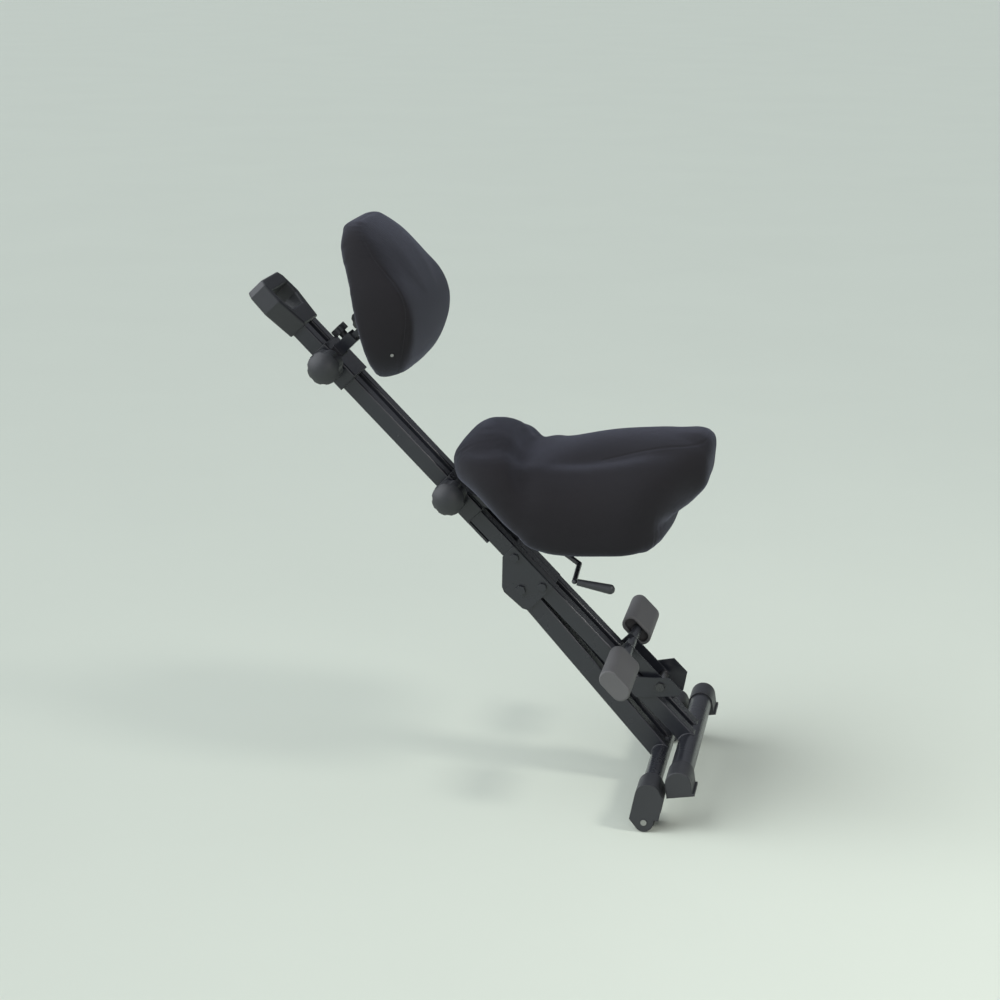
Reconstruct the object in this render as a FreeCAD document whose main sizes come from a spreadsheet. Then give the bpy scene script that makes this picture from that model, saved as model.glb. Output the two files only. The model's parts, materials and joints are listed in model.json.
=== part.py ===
"""Folding sit-stand stool: a twin-rail column on a folding base, with a saddle seat, a backrest and a footrest.

The stool is modelled folded and tipped back on its two rear wheels, the way it is rolled along by its handle.
World frame: +X to the front of the stool, +Y to its left, +Z up, origin on the floor between the wheels.
Most pieces are drawn in the column frame: x to the front of the rails, y to the left, z up along the rails.
"""
import FreeCAD, Part
import math
import os

import Sketcher
from FreeCAD import Placement, Rotation, Vector

# Driving dimensions, in millimetres and degrees
DIMENSIONS = {
    # column
    "rail_size": 25.0,
    "rail_wall": 2.0,
    "rail_gap": 22.0,
    "rail_corner": 2.5,
    "transport_tilt": 45.8,
    "use_tilt": 54.0,
    # base with its two feet
    "base_tube_radius": 17.5,
    "base_tube_wall": 2.0,
    "base_tube_length": 420.0,
    "base_tube_setback": 4.0,
    "foot_wall": 2.0,
    "foot_length": 55.0,
    "foot_end_wall": 8.0,
    "foot_sole_wall": 2.5,
    "foot_flange": 3.0,
    "foot_flange_thickness": 4.0,
    "foot_edge_round": 1.5,
    # carrying handle
    "handle_height": 875.0,
    "handle_length": 93.0,
    "handle_wall": 3.8,
    "handle_socket_depth": 24.0,
    "handle_flare_out": 18.0,
    "handle_flare_rise": 51.0,
    "handle_shoulder_drop": 9.0,
    "handle_shoulder_taper": 5.0,
    "handle_shoulder_inset": 14.0,
    "grip_thickness": 23.0,
    "grip_side": 14.0,
    "hand_gap_height": 39.0,
    "hand_gap_taper": 11.0,
    "handle_edge_round": 4.0,
    "handle_screw_radius": 2.0,
    "handle_screw_head_radius": 4.5,
    "handle_screw_head_height": 2.5,
    "handle_screw_rise": 12.0,
    # hinge of the rear leg
    "plate_thickness": 3.0,
    "hinge_height": 322.0,
    "hinge_plate_length": 88.0,
    "hinge_plate_inset": 0.5,
    "hinge_plate_margin": 6.5,
    "hinge_plate_corner": 8.0,
    "pivot_rise": 31.0,
    "pivot_clearance": 1.0,
    "pivot_radius": 5.0,
    "fixing_bolt_radius": 4.0,
    "lower_bolt_rise": 12.0,
    "upper_bolt_drop": 14.0,
    "bolt_head_overhang": 3.2,
    "bolt_head_height": 4.5,
    # folding rear leg
    "leg_depth": 30.0,
    "leg_width": 25.0,
    "leg_wall": 2.0,
    "leg_side_gap": 1.0,
    "leg_fold_angle": 3.2,
    "leg_open_angle": 70.0,
    "rear_tube_radius": 14.0,
    "rear_tube_wall": 2.0,
    "rear_tube_length": 384.0,
    # wheels and their housings
    "housing_collar": 5.0,
    "housing_end_wall": 3.0,
    "housing_cheek": 8.0,
    "housing_inner_cheek": 20.0,
    "housing_sole_wall": 10.0,
    "housing_roof": 4.8,
    "housing_step": 2.0,
    "housing_floor_gap": 1.2,
    "wheel_radius": 15.5,
    "wheel_width": 24.0,
    "wheel_side_gap": 1.0,
    "wheel_rim_gap": 2.0,
    "wheel_standoff": 6.0,
    "wheel_drop": 3.3,
    "wheel_edge_round": 2.5,
    "axle_radius": 3.0,
    "axle_head_radius": 4.5,
    "axle_head_height": 1.5,
    # seat carriage
    "sleeve_gap": 0.5,
    "sleeve_wall": 3.5,
    "sleeve_corner": 3.0,
    "seat_height": 485.0,
    "seat_sleeve_length": 71.0,
    "seat_skirt_length": 44.0,
    "seat_knob_rise": 48.0,
    "seat_pivot_drop": 67.0,
    "seat_pivot_standoff": 62.5,
    "arm_thickness": 4.0,
    "arm_root_height": 32.0,
    "arm_waist_reach": 28.0,
    "arm_waist_drop": 35.0,
    "tilt_housing_half_width": 28.0,
    "tilt_housing_length": 78.0,
    "tilt_housing_height": 53.0,
    "tilt_housing_roof": 3.0,
    "tilt_housing_wall": 3.0,
    "tilt_housing_back": 24.0,
    "seat_pin_radius": 5.0,
    "seat_pin_head_height": 2.0,
    # seat
    "ear_thickness": 4.0,
    "ear_gap": 1.0,
    "ear_wall": 8.0,
    "tilt_clearance": 8.0,
    "bracket_front": 78.0,
    "pan_thickness": 8.0,
    "pan_back": 60.0,
    "pan_front": 172.0,
    "pan_half_width": 98.0,
    "pan_corner": 30.0,
    "seat_screw_radius": 3.0,
    "seat_screw_head_radius": 4.8,
    "seat_screw_head_height": 1.0,
    "seat_screw_spacing": 50.0,
    "saddle_back": 125.0,
    "saddle_length": 381.0,
    "saddle_half_width": 174.0,
    "saddle_height": 159.0,
    "saddle_drop": 28.0,
    "saddle_recess_gap": 4.0,
    # tilt lever
    "lever_rod_radius": 4.0,
    "lever_shaft_forward": 10.0,
    "lever_shaft_margin": 12.0,
    "lever_step_forward": 52.0,
    "lever_step_drop": 37.0,
    "lever_step_standoff": 23.0,
    "lever_cross_length": 80.0,
    "lever_cross_forward": 3.4,
    "lever_cross_drop": 5.5,
    "lever_grip_length": 50.0,
    "lever_grip_angle": 10.0,
    "lever_grip_thin": 5.0,
    "lever_grip_thick": 7.5,
    # round clamp knobs
    "knob_radius": 25.5,
    "knob_length": 36.0,
    "knob_dome_radius": 33.0,
    "knob_hub_radius": 13.0,
    "knob_hub_length": 9.0,
    "knob_lobes": 8,
    "knob_scallop_radius": 9.0,
    "knob_scallop_depth": 1.6,
    "knob_clearance": 0.6,
    "boss_radius": 11.0,
    "boss_length": 6.0,
    "stud_radius": 4.0,
    "stud_tip_radius": 3.0,
    "stud_tip_length": 3.0,
    # backrest carriage
    "back_handle_gap": 43.0,
    "back_sleeve_length": 66.0,
    "back_knob_rise": 40.0,
    "depth_bar_rise": 46.0,
    "depth_bar_side_gap": 2.0,
    "depth_bar_thickness": 9.0,
    "depth_bar_tail": 8.0,
    "depth_bar_clearance": 0.3,
    "guide_length": 32.0,
    "guide_side_wall": 5.7,
    "guide_floor": 4.7,
    "star_standoff": 20.5,
    "star_stud_radius": 3.0,
    "star_collar_radius": 6.0,
    "star_radius": 13.0,
    "star_height": 11.0,
    "star_stem": 7.0,
    "star_notch_radius": 5.0,
    "star_notch_depth": 3.0,
    "star_lobes": 6,
    # backrest
    "back_pivot_step": 8.0,
    "back_pivot_standoff": 53.5,
    "back_lean": 13.0,
    "back_barrel_wall": 5.0,
    "back_pin_radius": 4.0,
    "back_ear_thickness": 4.0,
    "back_ear_gap": 0.5,
    "back_nut_radius": 7.2,
    "tilt_knob_radius": 20.0,
    "tilt_knob_length": 30.0,
    "shell_knob_gap": 3.0,
    "shell_thickness": 5.0,
    "shell_half_width": 105.0,
    "shell_bottom": 60.0,
    "shell_top": 112.0,
    "shell_corner": 40.0,
    "back_screw_radius": 2.5,
    "back_screw_head_radius": 5.0,
    "back_screw_head_height": 2.5,
    "back_screw_spread": 60.0,
    "back_screw_rise": 70.0,
    "back_pad_bottom": 81.0,
    "back_pad_height": 232.0,
    "back_pad_half_width": 154.0,
    "back_pad_thickness": 90.7,
    "back_pad_end_bulge": 6.0,
    # footrest
    "rest_height": 58.0,
    "rest_plate_length": 74.0,
    "rest_plate_margin": 26.0,
    "rest_plate_corner": 12.0,
    "rest_plate_top_drop": 27.0,
    "short_plate_inset": 6.0,
    "short_plate_top_drop": 34.5,
    "short_plate_foot": 9.5,
    "short_plate_rake": 42.5,
    "rest_pivot_rise": 40.0,
    "rest_pivot_standoff": 14.5,
    "rest_pin_radius": 4.0,
    "rest_arm_half_width": 25.0,
    "rest_arm_thickness": 2.5,
    "rest_arm_gap": 2.5,
    "rest_arm_front": 8.0,
    "rest_arm_foot": 6.0,
    "rest_arm_end": 12.0,
    "rest_web_gap": 14.0,
    "rest_bar_rise": 73.0,
    "rest_bar_radius": 8.0,
    "rest_bar_wall": 1.5,
    "rest_sleeve_wall": 3.0,
    "rest_pad_inner": 80.0,
    "rest_pad_length": 128.0,
    "rest_pad_height": 54.0,
    "rest_pad_thickness": 28.0,
    "rest_pad_end_wall": 8.0,
    "rest_pad_rim": 4.5,
    "rest_pad_recess": 14.0,
    "rest_pad_round": 3.0,
    "stop_bolt_rise": 40.0,
    "stop_bolt_radius": 4.0,
    # general clearances
    "running_clearance": 0.08,
    "soft_clearance": 0.3,
    "assembly_clearance": 0.2,
}

doc = FreeCAD.newDocument("sit_stand_stool")
sheet = doc.addObject("Spreadsheet::Sheet", "Sizes")


class Size:
    """A number with the sheet expression that gives it, so that sums of sizes stay bound to the sheet."""

    def __init__(self, text, value):
        self.text = text
        self.value = value

    def __add__(self, other):
        other = as_size(other)
        return Size(f"({self.text} + {other.text})", self.value + other.value)

    def __sub__(self, other):
        other = as_size(other)
        return Size(f"({self.text} - {other.text})", self.value - other.value)

    def __mul__(self, other):
        other = as_size(other)
        return Size(f"({self.text} * {other.text})", self.value * other.value)

    def __truediv__(self, other):
        other = as_size(other)
        return Size(f"({self.text} / {other.text})", self.value / other.value)

    def __neg__(self):
        return Size(f"(-1 * {self.text})", -self.value)

    __radd__ = __add__
    __rmul__ = __mul__

    def __rsub__(self, other):
        return as_size(other) - self


def as_size(number):
    """Wrap a plain number as a Size."""
    if isinstance(number, Size):
        return number
    return Size(f"({float(number)})", float(number))


class Sizes:
    """The rows of the sheet, each as an attribute named by its alias."""


size = Sizes()
for row, (alias, number) in enumerate(DIMENSIONS.items(), start=1):
    sheet.set(f"A{row}", alias)
    sheet.set(f"B{row}", str(number))
    sheet.setAlias(f"B{row}", alias)
    setattr(size, alias, Size(f"Sizes.{alias}", float(number)))
doc.recompute()

# Sizes that follow from the driving dimensions
ZERO = as_size(0)
half_rail = size.rail_size / 2
half_column = size.rail_gap / 2 + size.rail_size
plate_outer = half_column + size.plate_thickness
rail_top = size.handle_height + size.handle_socket_depth
handle_top = size.handle_height + size.handle_length

foot_radius = size.base_tube_radius + size.foot_wall
foot_sole_drop = size.base_tube_radius + size.foot_sole_wall
foot_outer_end = size.base_tube_length / 2 + size.foot_end_wall
foot_inner_end = foot_outer_end - size.foot_length

pivot_height = size.hinge_height + size.pivot_rise
pivot_setback = half_rail + size.leg_depth / 2 + size.pivot_clearance
hinge_top = size.hinge_height + size.hinge_plate_length
lower_bolt_height = size.hinge_height + size.lower_bolt_rise
upper_bolt_height = hinge_top - size.upper_bolt_drop

collar_radius = size.rear_tube_radius + size.housing_collar
housing_sole_drop = size.rear_tube_radius + size.housing_sole_wall
wheel_reach = collar_radius + size.wheel_standoff + size.wheel_radius
wheel_slot = size.wheel_width + size.wheel_side_gap * 2
housing_outer_end = size.rear_tube_length / 2 + size.housing_end_wall + wheel_slot + size.housing_cheek
housing_inner_end = housing_outer_end - size.housing_cheek - wheel_slot - size.housing_inner_cheek
wheel_middle = housing_outer_end - size.housing_cheek - wheel_slot / 2

sleeve_inner_x = half_rail + size.sleeve_gap
sleeve_inner_y = half_column + size.sleeve_gap
sleeve_x = sleeve_inner_x + size.sleeve_wall
sleeve_y = sleeve_inner_y + size.sleeve_wall

seat_knob_height = size.seat_height + size.seat_knob_rise
seat_pivot_height = size.seat_height - size.seat_pivot_drop
seat_pivot_reach = sleeve_x + size.seat_pivot_standoff
tilt_housing_top = size.seat_pin_radius + size.tilt_housing_roof
tilt_housing_floor = tilt_housing_top - size.tilt_housing_height
ear_radius = size.seat_pin_radius + size.ear_wall
ear_inner = size.tilt_housing_half_width + size.arm_thickness + size.ear_gap
ear_outer = ear_inner + size.ear_thickness
bracket_bottom = tilt_housing_top + size.tilt_clearance
pan_bottom = bracket_bottom + size.ear_thickness
pan_top = pan_bottom + size.pan_thickness
lever_shaft_z = tilt_housing_floor + size.lever_shaft_margin

back_height = size.handle_height - size.back_handle_gap - size.back_sleeve_length
back_knob_height = back_height + size.back_knob_rise
depth_bar_height = back_height + size.depth_bar_rise
depth_bar_half_width = size.rail_gap / 2 - size.depth_bar_side_gap
depth_bar_low = depth_bar_height - size.depth_bar_thickness / 2
depth_bar_high = depth_bar_height + size.depth_bar_thickness / 2
guide_front = sleeve_x + size.guide_length
guide_low = depth_bar_low - size.depth_bar_clearance - size.guide_floor
guide_high = depth_bar_high + size.depth_bar_clearance + size.guide_floor
star_reach = sleeve_x + size.star_standoff
back_pivot_height = depth_bar_height + size.back_pivot_step
back_pivot_reach = sleeve_x + size.back_pivot_standoff
back_barrel_radius = size.back_pin_radius + size.back_barrel_wall
shell_back = size.tilt_knob_radius + size.shell_knob_gap
shell_front = shell_back + size.shell_thickness

rest_pivot_height = size.rest_height + size.rest_pivot_rise
rest_pivot_reach = half_rail + size.rest_pivot_standoff
rest_arm_back = size.rest_pivot_standoff - size.rest_arm_gap
rest_sleeve_radius = size.rest_pin_radius + size.rest_sleeve_wall


def leg_reach():
    """Distance from the leg pivot to the rear tube at which both pairs of feet stand level in use."""
    lean = math.radians(size.use_tilt.value)
    leg_turn = size.leg_fold_angle + size.leg_open_angle
    leg_slope = math.radians(180.0 - size.use_tilt.value - leg_turn.value)
    behind_tube = pivot_setback.value - size.base_tube_setback.value
    pivot_over_base = pivot_height.value * math.sin(lean) - behind_tube * math.cos(lean)
    drop = pivot_over_base + foot_sole_drop.value - housing_sole_drop.value
    return drop / math.sin(leg_slope)


def about_y(angle):
    """Turn about the stool's cross axis, in degrees."""
    return Rotation(Vector(0, 1, 0), angle)


def at(x, z, angle=0.0):
    """A frame in the stool's middle plane, turned about the cross axis."""
    return Placement(Vector(x.value, 0, z.value), about_y(angle))


def column_frame():
    """Lean the column back so that the wheels touch the floor below the origin."""
    tip_back = Placement(Vector(), about_y(size.transport_tilt.value - 90.0))
    axle = tip_back.multiply(leg_in_column).multiply(housing_in_leg).multVec(
        Vector(-wheel_reach.value, 0, -size.wheel_drop.value))
    tip_back.Base = Vector(-axle.x, 0, size.wheel_radius.value - axle.z)
    return tip_back


leg_length = as_size(leg_reach())
sole_turn = 90.0 - size.use_tilt.value - size.leg_fold_angle.value - size.leg_open_angle.value
level_turn = 90.0 - size.transport_tilt.value
leg_in_column = at(-pivot_setback, pivot_height, size.leg_fold_angle.value)
housing_in_leg = at(ZERO, -leg_length, sole_turn)

COLUMN = column_frame()
LEG = COLUMN.multiply(leg_in_column)
HOUSING = LEG.multiply(housing_in_leg)
FOOT = COLUMN.multiply(at(-size.base_tube_setback, ZERO, 90.0 - size.use_tilt.value))
SEAT = COLUMN.multiply(at(seat_pivot_reach, seat_pivot_height, level_turn))
BACK = COLUMN.multiply(at(back_pivot_reach, back_pivot_height, level_turn - size.back_lean.value))
FOOTREST = COLUMN.multiply(at(rest_pivot_reach, rest_pivot_height))

nodes = []
side_names = (("right", -1), ("left", 1))
SAME_PLACE = 1e-4
SAME_DIRECTION = 1e-6


def bind(obj, name, number):
    """Bind a property of an object to the sheet."""
    obj.setExpression(name, as_size(number).text)


def move(obj, x, y, z):
    """Bind an object's place to the sheet."""
    bind(obj, "Placement.Base.x", x)
    bind(obj, "Placement.Base.y", y)
    bind(obj, "Placement.Base.z", z)
    return obj


def block(x_span, y_span, z_span):
    """A box between two values on each axis."""
    box = doc.addObject("Part::Box", "Block")
    bind(box, "Length", x_span[1] - x_span[0])
    bind(box, "Width", y_span[1] - y_span[0])
    bind(box, "Height", z_span[1] - z_span[0])
    return move(box, x_span[0], y_span[0], z_span[0])


def upright(radius, x, y, z_span):
    """A round bar along z."""
    bar = doc.addObject("Part::Cylinder", "Upright")
    bind(bar, "Radius", radius)
    bind(bar, "Height", z_span[1] - z_span[0])
    return move(bar, x, y, z_span[0])


def crossbar(radius, x, z, y_span):
    """A round bar along y."""
    bar = doc.addObject("Part::Cylinder", "Crossbar")
    bar.Placement = Placement(Vector(), Rotation(Vector(1, 0, 0), -90))
    bind(bar, "Radius", radius)
    bind(bar, "Height", y_span[1] - y_span[0])
    return move(bar, x, y_span[0], z)


def forward_bar(radius, y, z, x_span):
    """A round bar along x."""
    bar = doc.addObject("Part::Cylinder", "ForwardBar")
    bar.Placement = Placement(Vector(), Rotation(Vector(0, 1, 0), 90))
    bind(bar, "Radius", radius)
    bind(bar, "Height", x_span[1] - x_span[0])
    return move(bar, x_span[0], y, z)


def cross_hexagon(radius, x, z, y_span):
    """A hexagonal bar along y, such as a bolt's head."""
    bar = doc.addObject("Part::Prism", "Hexagon")
    bar.Polygon = 6
    bar.Placement = Placement(Vector(), Rotation(Vector(1, 0, 0), -90))
    bind(bar, "Circumradius", radius)
    bind(bar, "Height", y_span[1] - y_span[0])
    return move(bar, x, y_span[0], z)


def fuse(*shapes):
    """Join shapes to one solid."""
    joined = doc.addObject("Part::MultiFuse", "Joined")
    joined.Shapes = list(shapes)
    joined.Refine = True
    return joined


def cut(base, *tools):
    """Take shapes away from a solid."""
    piece = doc.addObject("Part::Cut", "Cutout")
    piece.Base = base
    piece.Tool = tools[0] if len(tools) == 1 else fuse(*tools)
    piece.Refine = True
    return piece


def common(first, second):
    """Keep what two shapes share."""
    piece = doc.addObject("Part::Common", "Shared")
    piece.Base = first
    piece.Tool = second
    return piece


def group(*shapes):
    """Hold like fasteners together as one node of separate solids."""
    held = doc.addObject("Part::Compound", "Group")
    held.Links = list(shapes)
    return held


def rounded(base, radius, chosen):
    """Round the edges of a solid that a test picks."""
    doc.recompute()
    fillet = doc.addObject("Part::Fillet", "Rounded")
    fillet.Base = base
    edges = enumerate(base.Shape.Edges, start=1)
    fillet.Edges = [(number, radius.value, radius.value) for number, edge in edges if chosen(edge)]
    return fillet


def along(edge, direction):
    """True for a straight edge in a direction."""
    if not isinstance(edge.Curve, Part.Line):
        return False
    return abs(abs(edge.Curve.Direction.dot(direction)) - 1.0) < SAME_DIRECTION


def on_plane(edge, axis, place):
    """True for an edge that lies in the plane at a place along an axis."""
    low = getattr(edge.BoundBox, f"{axis}Min")
    high = getattr(edge.BoundBox, f"{axis}Max")
    return abs(low - place) < SAME_PLACE and abs(high - place) < SAME_PLACE


def outline(sketch, corners, first=0):
    """Draw a closed polygon whose corners are bound to the sheet."""
    corners = [(as_size(x), as_size(y)) for x, y in corners]
    count = len(corners)
    for index in range(count):
        start = corners[index]
        end = corners[(index + 1) % count]
        sketch.addGeometry(Part.LineSegment(Vector(start[0].value, start[1].value, 0),
                                            Vector(end[0].value, end[1].value, 0)), False)
    for index in range(count):
        line = first + index
        following = first + (index + 1) % count
        sketch.addConstraint(Sketcher.Constraint("Coincident", line, 2, following, 1))
        for kind, number in zip(("DistanceX", "DistanceY"), corners[index]):
            held = sketch.addConstraint(Sketcher.Constraint(kind, -1, 1, line, 1, number.value))
            sketch.setExpression(f"Constraints[{held}]", number.text)
    return first + count


def profile(plane, offset, depth, *outlines):
    """A body padded from polygons on an origin plane, starting at an offset along the plane's normal."""
    body = doc.addObject("PartDesign::Body", "Profile")
    sketch = body.newObject("Sketcher::SketchObject", "Outline")
    support = [feature for feature in body.Origin.OriginFeatures if feature.Role == plane]
    sketch.AttachmentSupport = (support[0], [""])
    sketch.MapMode = "FlatFace"
    bind(sketch, "AttachmentOffset.Base.z", offset)
    drawn = 0
    for corners in outlines:
        drawn = outline(sketch, corners, drawn)
    pad = body.newObject("PartDesign::Pad", "Pad")
    pad.Profile = sketch
    bind(pad, "Length", depth)
    return body


def side_profile(corners, y_span, *holes):
    """A plate drawn in the x-z plane and filling a span of y."""
    return profile("XZ_Plane", -as_size(y_span[1]), y_span[1] - y_span[0], corners, *holes)


def front_profile(corners, x_span, *holes):
    """A plate drawn in the y-z plane and filling a span of x."""
    return profile("YZ_Plane", x_span[0], x_span[1] - x_span[0], corners, *holes)


def node(label, piece, frame=COLUMN):
    """Name a finished piece and put it in its place on the stool."""
    piece.Label = label
    piece.Placement = frame
    nodes.append(piece)
    return piece


def span(low, high, side):
    """A span of y on the right (-1) or left (+1) side of the stool."""
    if side > 0:
        return low, high
    return -high, -low


def cross_bolt(radius, x, z, half_grip):
    """A hexagon bolt and nut across the stool that clamps a stack of the given half width."""
    head = radius + size.bolt_head_overhang
    top = half_grip + size.bolt_head_height
    return fuse(
        crossbar(radius, x, z, (-half_grip, half_grip)),
        cross_hexagon(head, x, z, (-top, -half_grip)),
        cross_hexagon(head, x, z, (half_grip, top)),
    )


def cross_hole(radius, x, z):
    """A drill right across the stool."""
    reach = size.base_tube_length
    return crossbar(radius, x, z, (-reach, reach))


def make_column():
    """The two rails, coped to the base tube and drilled for the hinge bolts."""
    bolt_hole = size.fixing_bolt_radius + size.assembly_clearance
    for side_name, side in side_names:
        outer = span(size.rail_gap / 2, half_column, side)
        inner = span(size.rail_gap / 2 + size.rail_wall, half_column - size.rail_wall, side)
        skin = rounded(block((-half_rail, half_rail), outer, (ZERO, rail_top)), size.rail_corner,
                       lambda edge: along(edge, Vector(0, 0, 1)))
        bore_x = (size.rail_wall - half_rail, half_rail - size.rail_wall)
        hollow = block(bore_x, inner, (-size.rail_size, rail_top + size.rail_wall))
        cope = cross_hole(size.base_tube_radius, -size.base_tube_setback, ZERO)
        lower = cross_hole(bolt_hole, ZERO, lower_bolt_height)
        upper = cross_hole(bolt_hole, ZERO, upper_bolt_height)
        node(f"column_rail_{side_name}", cut(skin, hollow, cope, lower, upper))


def make_handle():
    """The loop handle with sockets over the rail ends, and its two screws."""
    fit = size.assembly_clearance
    half_depth = half_rail + fit + size.handle_wall
    foot = half_column + fit + size.handle_wall
    wide = foot + size.handle_flare_out
    top = wide - size.handle_shoulder_inset
    bottom = size.handle_height
    flare = bottom + size.handle_flare_rise
    shoulder = handle_top - size.handle_shoulder_drop
    high = wide - size.handle_shoulder_taper
    corners = [(-foot, bottom), (foot, bottom), (wide, flare), (high, shoulder),
               (top, handle_top), (-top, handle_top), (-high, shoulder), (-wide, flare)]
    gap_top = handle_top - size.grip_thickness
    gap_foot = gap_top - size.hand_gap_height
    gap_middle = gap_top - size.hand_gap_height / 2
    gap_wide = wide - size.grip_side
    gap_narrow = gap_wide - size.hand_gap_taper
    opening = [(-gap_narrow, gap_foot), (gap_narrow, gap_foot), (gap_wide, gap_middle), (gap_wide, gap_top),
               (-gap_wide, gap_top), (-gap_wide, gap_middle)]
    loop = front_profile(corners, (-half_depth, half_depth), opening)
    faces = (-half_depth.value, half_depth.value)
    soft = rounded(loop, size.handle_edge_round, lambda edge: any(on_plane(edge, "X", face) for face in faces))
    tools = []
    screws = []
    screw_height = bottom + size.handle_screw_rise
    for side_name, side in side_names:
        socket_y = span(size.rail_gap / 2 - fit, half_column + fit, side)
        socket_z = (bottom - size.handle_wall, rail_top)
        tools.append(block((-half_rail - fit, half_rail + fit), socket_y, socket_z))
        middle = (size.rail_gap / 2 + half_rail) * side
        screw_hole = size.handle_screw_radius + fit
        tools.append(forward_bar(screw_hole, middle, screw_height, (-half_depth - fit, ZERO)))
        shank = forward_bar(size.handle_screw_radius, middle, screw_height, (-half_depth, -half_rail))
        head = forward_bar(size.handle_screw_head_radius, middle, screw_height,
                           (-half_depth - size.handle_screw_head_height, -half_depth))
        screws.append(fuse(shank, head))
    node("carry_handle", cut(soft, *tools))
    node("handle_screws", group(*screws))


def make_base():
    """The front cross tube and its two feet, whose soles are level when the stool stands in use."""
    half_length = size.base_tube_length / 2
    centre = -size.base_tube_setback
    outer = crossbar(size.base_tube_radius, centre, ZERO, (-half_length, half_length))
    inner = cross_hole(size.base_tube_radius - size.base_tube_wall, centre, ZERO)
    node("base_cross_tube", cut(outer, inner))
    for side_name, side in side_names:
        reach = span(foot_inner_end, foot_outer_end, side)
        round_top = crossbar(foot_radius, ZERO, ZERO, reach)
        walls = block((-foot_radius, foot_radius), reach, (-foot_sole_drop, ZERO))
        sole_top = size.foot_flange_thickness - foot_sole_drop
        sole = block((-foot_radius, foot_radius + size.foot_flange), reach, (-foot_sole_drop, sole_top))
        shell = fuse(round_top, walls, sole)
        end = (foot_outer_end * side).value
        soft = rounded(shell, size.foot_edge_round, lambda edge, end=end: on_plane(edge, "Y", end))
        bore = crossbar(size.base_tube_radius + size.running_clearance, ZERO, ZERO,
                        span(foot_inner_end - size.foot_wall, half_length, side))
        node(f"front_foot_{side_name}", cut(soft, bore), FOOT)


def make_hinge():
    """Side plates, spacer and bolts that carry the rear leg."""
    bolt_hole = size.fixing_bolt_radius + size.assembly_clearance
    front = half_rail - size.hinge_plate_inset
    back = pivot_setback + size.leg_depth / 2 + size.hinge_plate_margin
    corner = size.hinge_plate_corner
    corners = [(front, size.hinge_height), (front, hinge_top), (-half_rail, hinge_top),
               (corner * 0.4 - back, pivot_height + size.leg_depth / 2 + corner),
               (-back, pivot_height + size.leg_depth / 2),
               (corner * 0.4 - back, size.hinge_height + corner), (corner - back, size.hinge_height)]
    for side_name, side in side_names:
        plate = side_profile(corners, span(half_column, plate_outer, side))
        holes = [cross_hole(bolt_hole, ZERO, lower_bolt_height),
                 cross_hole(bolt_hole, ZERO, upper_bolt_height),
                 cross_hole(size.pivot_radius + size.running_clearance, -pivot_setback, pivot_height)]
        node(f"hinge_plate_{side_name}", cut(plate, *holes))
    half_gap = size.rail_gap / 2
    filler = block((-half_rail, half_rail), (-half_gap, half_gap), (size.hinge_height, hinge_top))
    node("hinge_spacer", cut(filler, cross_hole(bolt_hole, ZERO, lower_bolt_height),
                             cross_hole(bolt_hole, ZERO, upper_bolt_height)))
    node("hinge_bolts", group(cross_bolt(size.fixing_bolt_radius, ZERO, lower_bolt_height, plate_outer),
                              cross_bolt(size.fixing_bolt_radius, ZERO, upper_bolt_height, plate_outer)))
    node("leg_pivot_bolt", cross_bolt(size.pivot_radius, -pivot_setback, pivot_height, plate_outer))


def make_rear_leg():
    """Two leg tubes hung on the pivot bolt and welded to the rear cross tube."""
    half_depth = size.leg_depth / 2
    outer_face = half_column - size.leg_side_gap
    inner_face = outer_face - size.leg_width
    for side_name, side in side_names:
        width = span(inner_face, outer_face, side)
        straight = rounded(block((-half_depth, half_depth), width, (-leg_length, ZERO)), size.rail_corner,
                           lambda edge: along(edge, Vector(0, 0, 1)))
        knuckle = crossbar(half_depth, ZERO, ZERO, width)
        bore_y = span(inner_face + size.leg_wall, outer_face - size.leg_wall, side)
        hollow = block((size.leg_wall - half_depth, half_depth - size.leg_wall), bore_y,
                       (-leg_length - size.leg_depth, -size.leg_depth))
        cope = cross_hole(size.rear_tube_radius, ZERO, -leg_length)
        pin_hole = cross_hole(size.pivot_radius + size.running_clearance, ZERO, ZERO)
        node(f"leg_tube_{side_name}", cut(fuse(straight, knuckle), hollow, cope, pin_hole), LEG)
    half_length = size.rear_tube_length / 2
    tube = crossbar(size.rear_tube_radius, ZERO, ZERO, (-half_length, half_length))
    bore = cross_hole(size.rear_tube_radius - size.rear_tube_wall, ZERO, ZERO)
    node("rear_cross_tube", cut(tube, bore), HOUSING)


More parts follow.
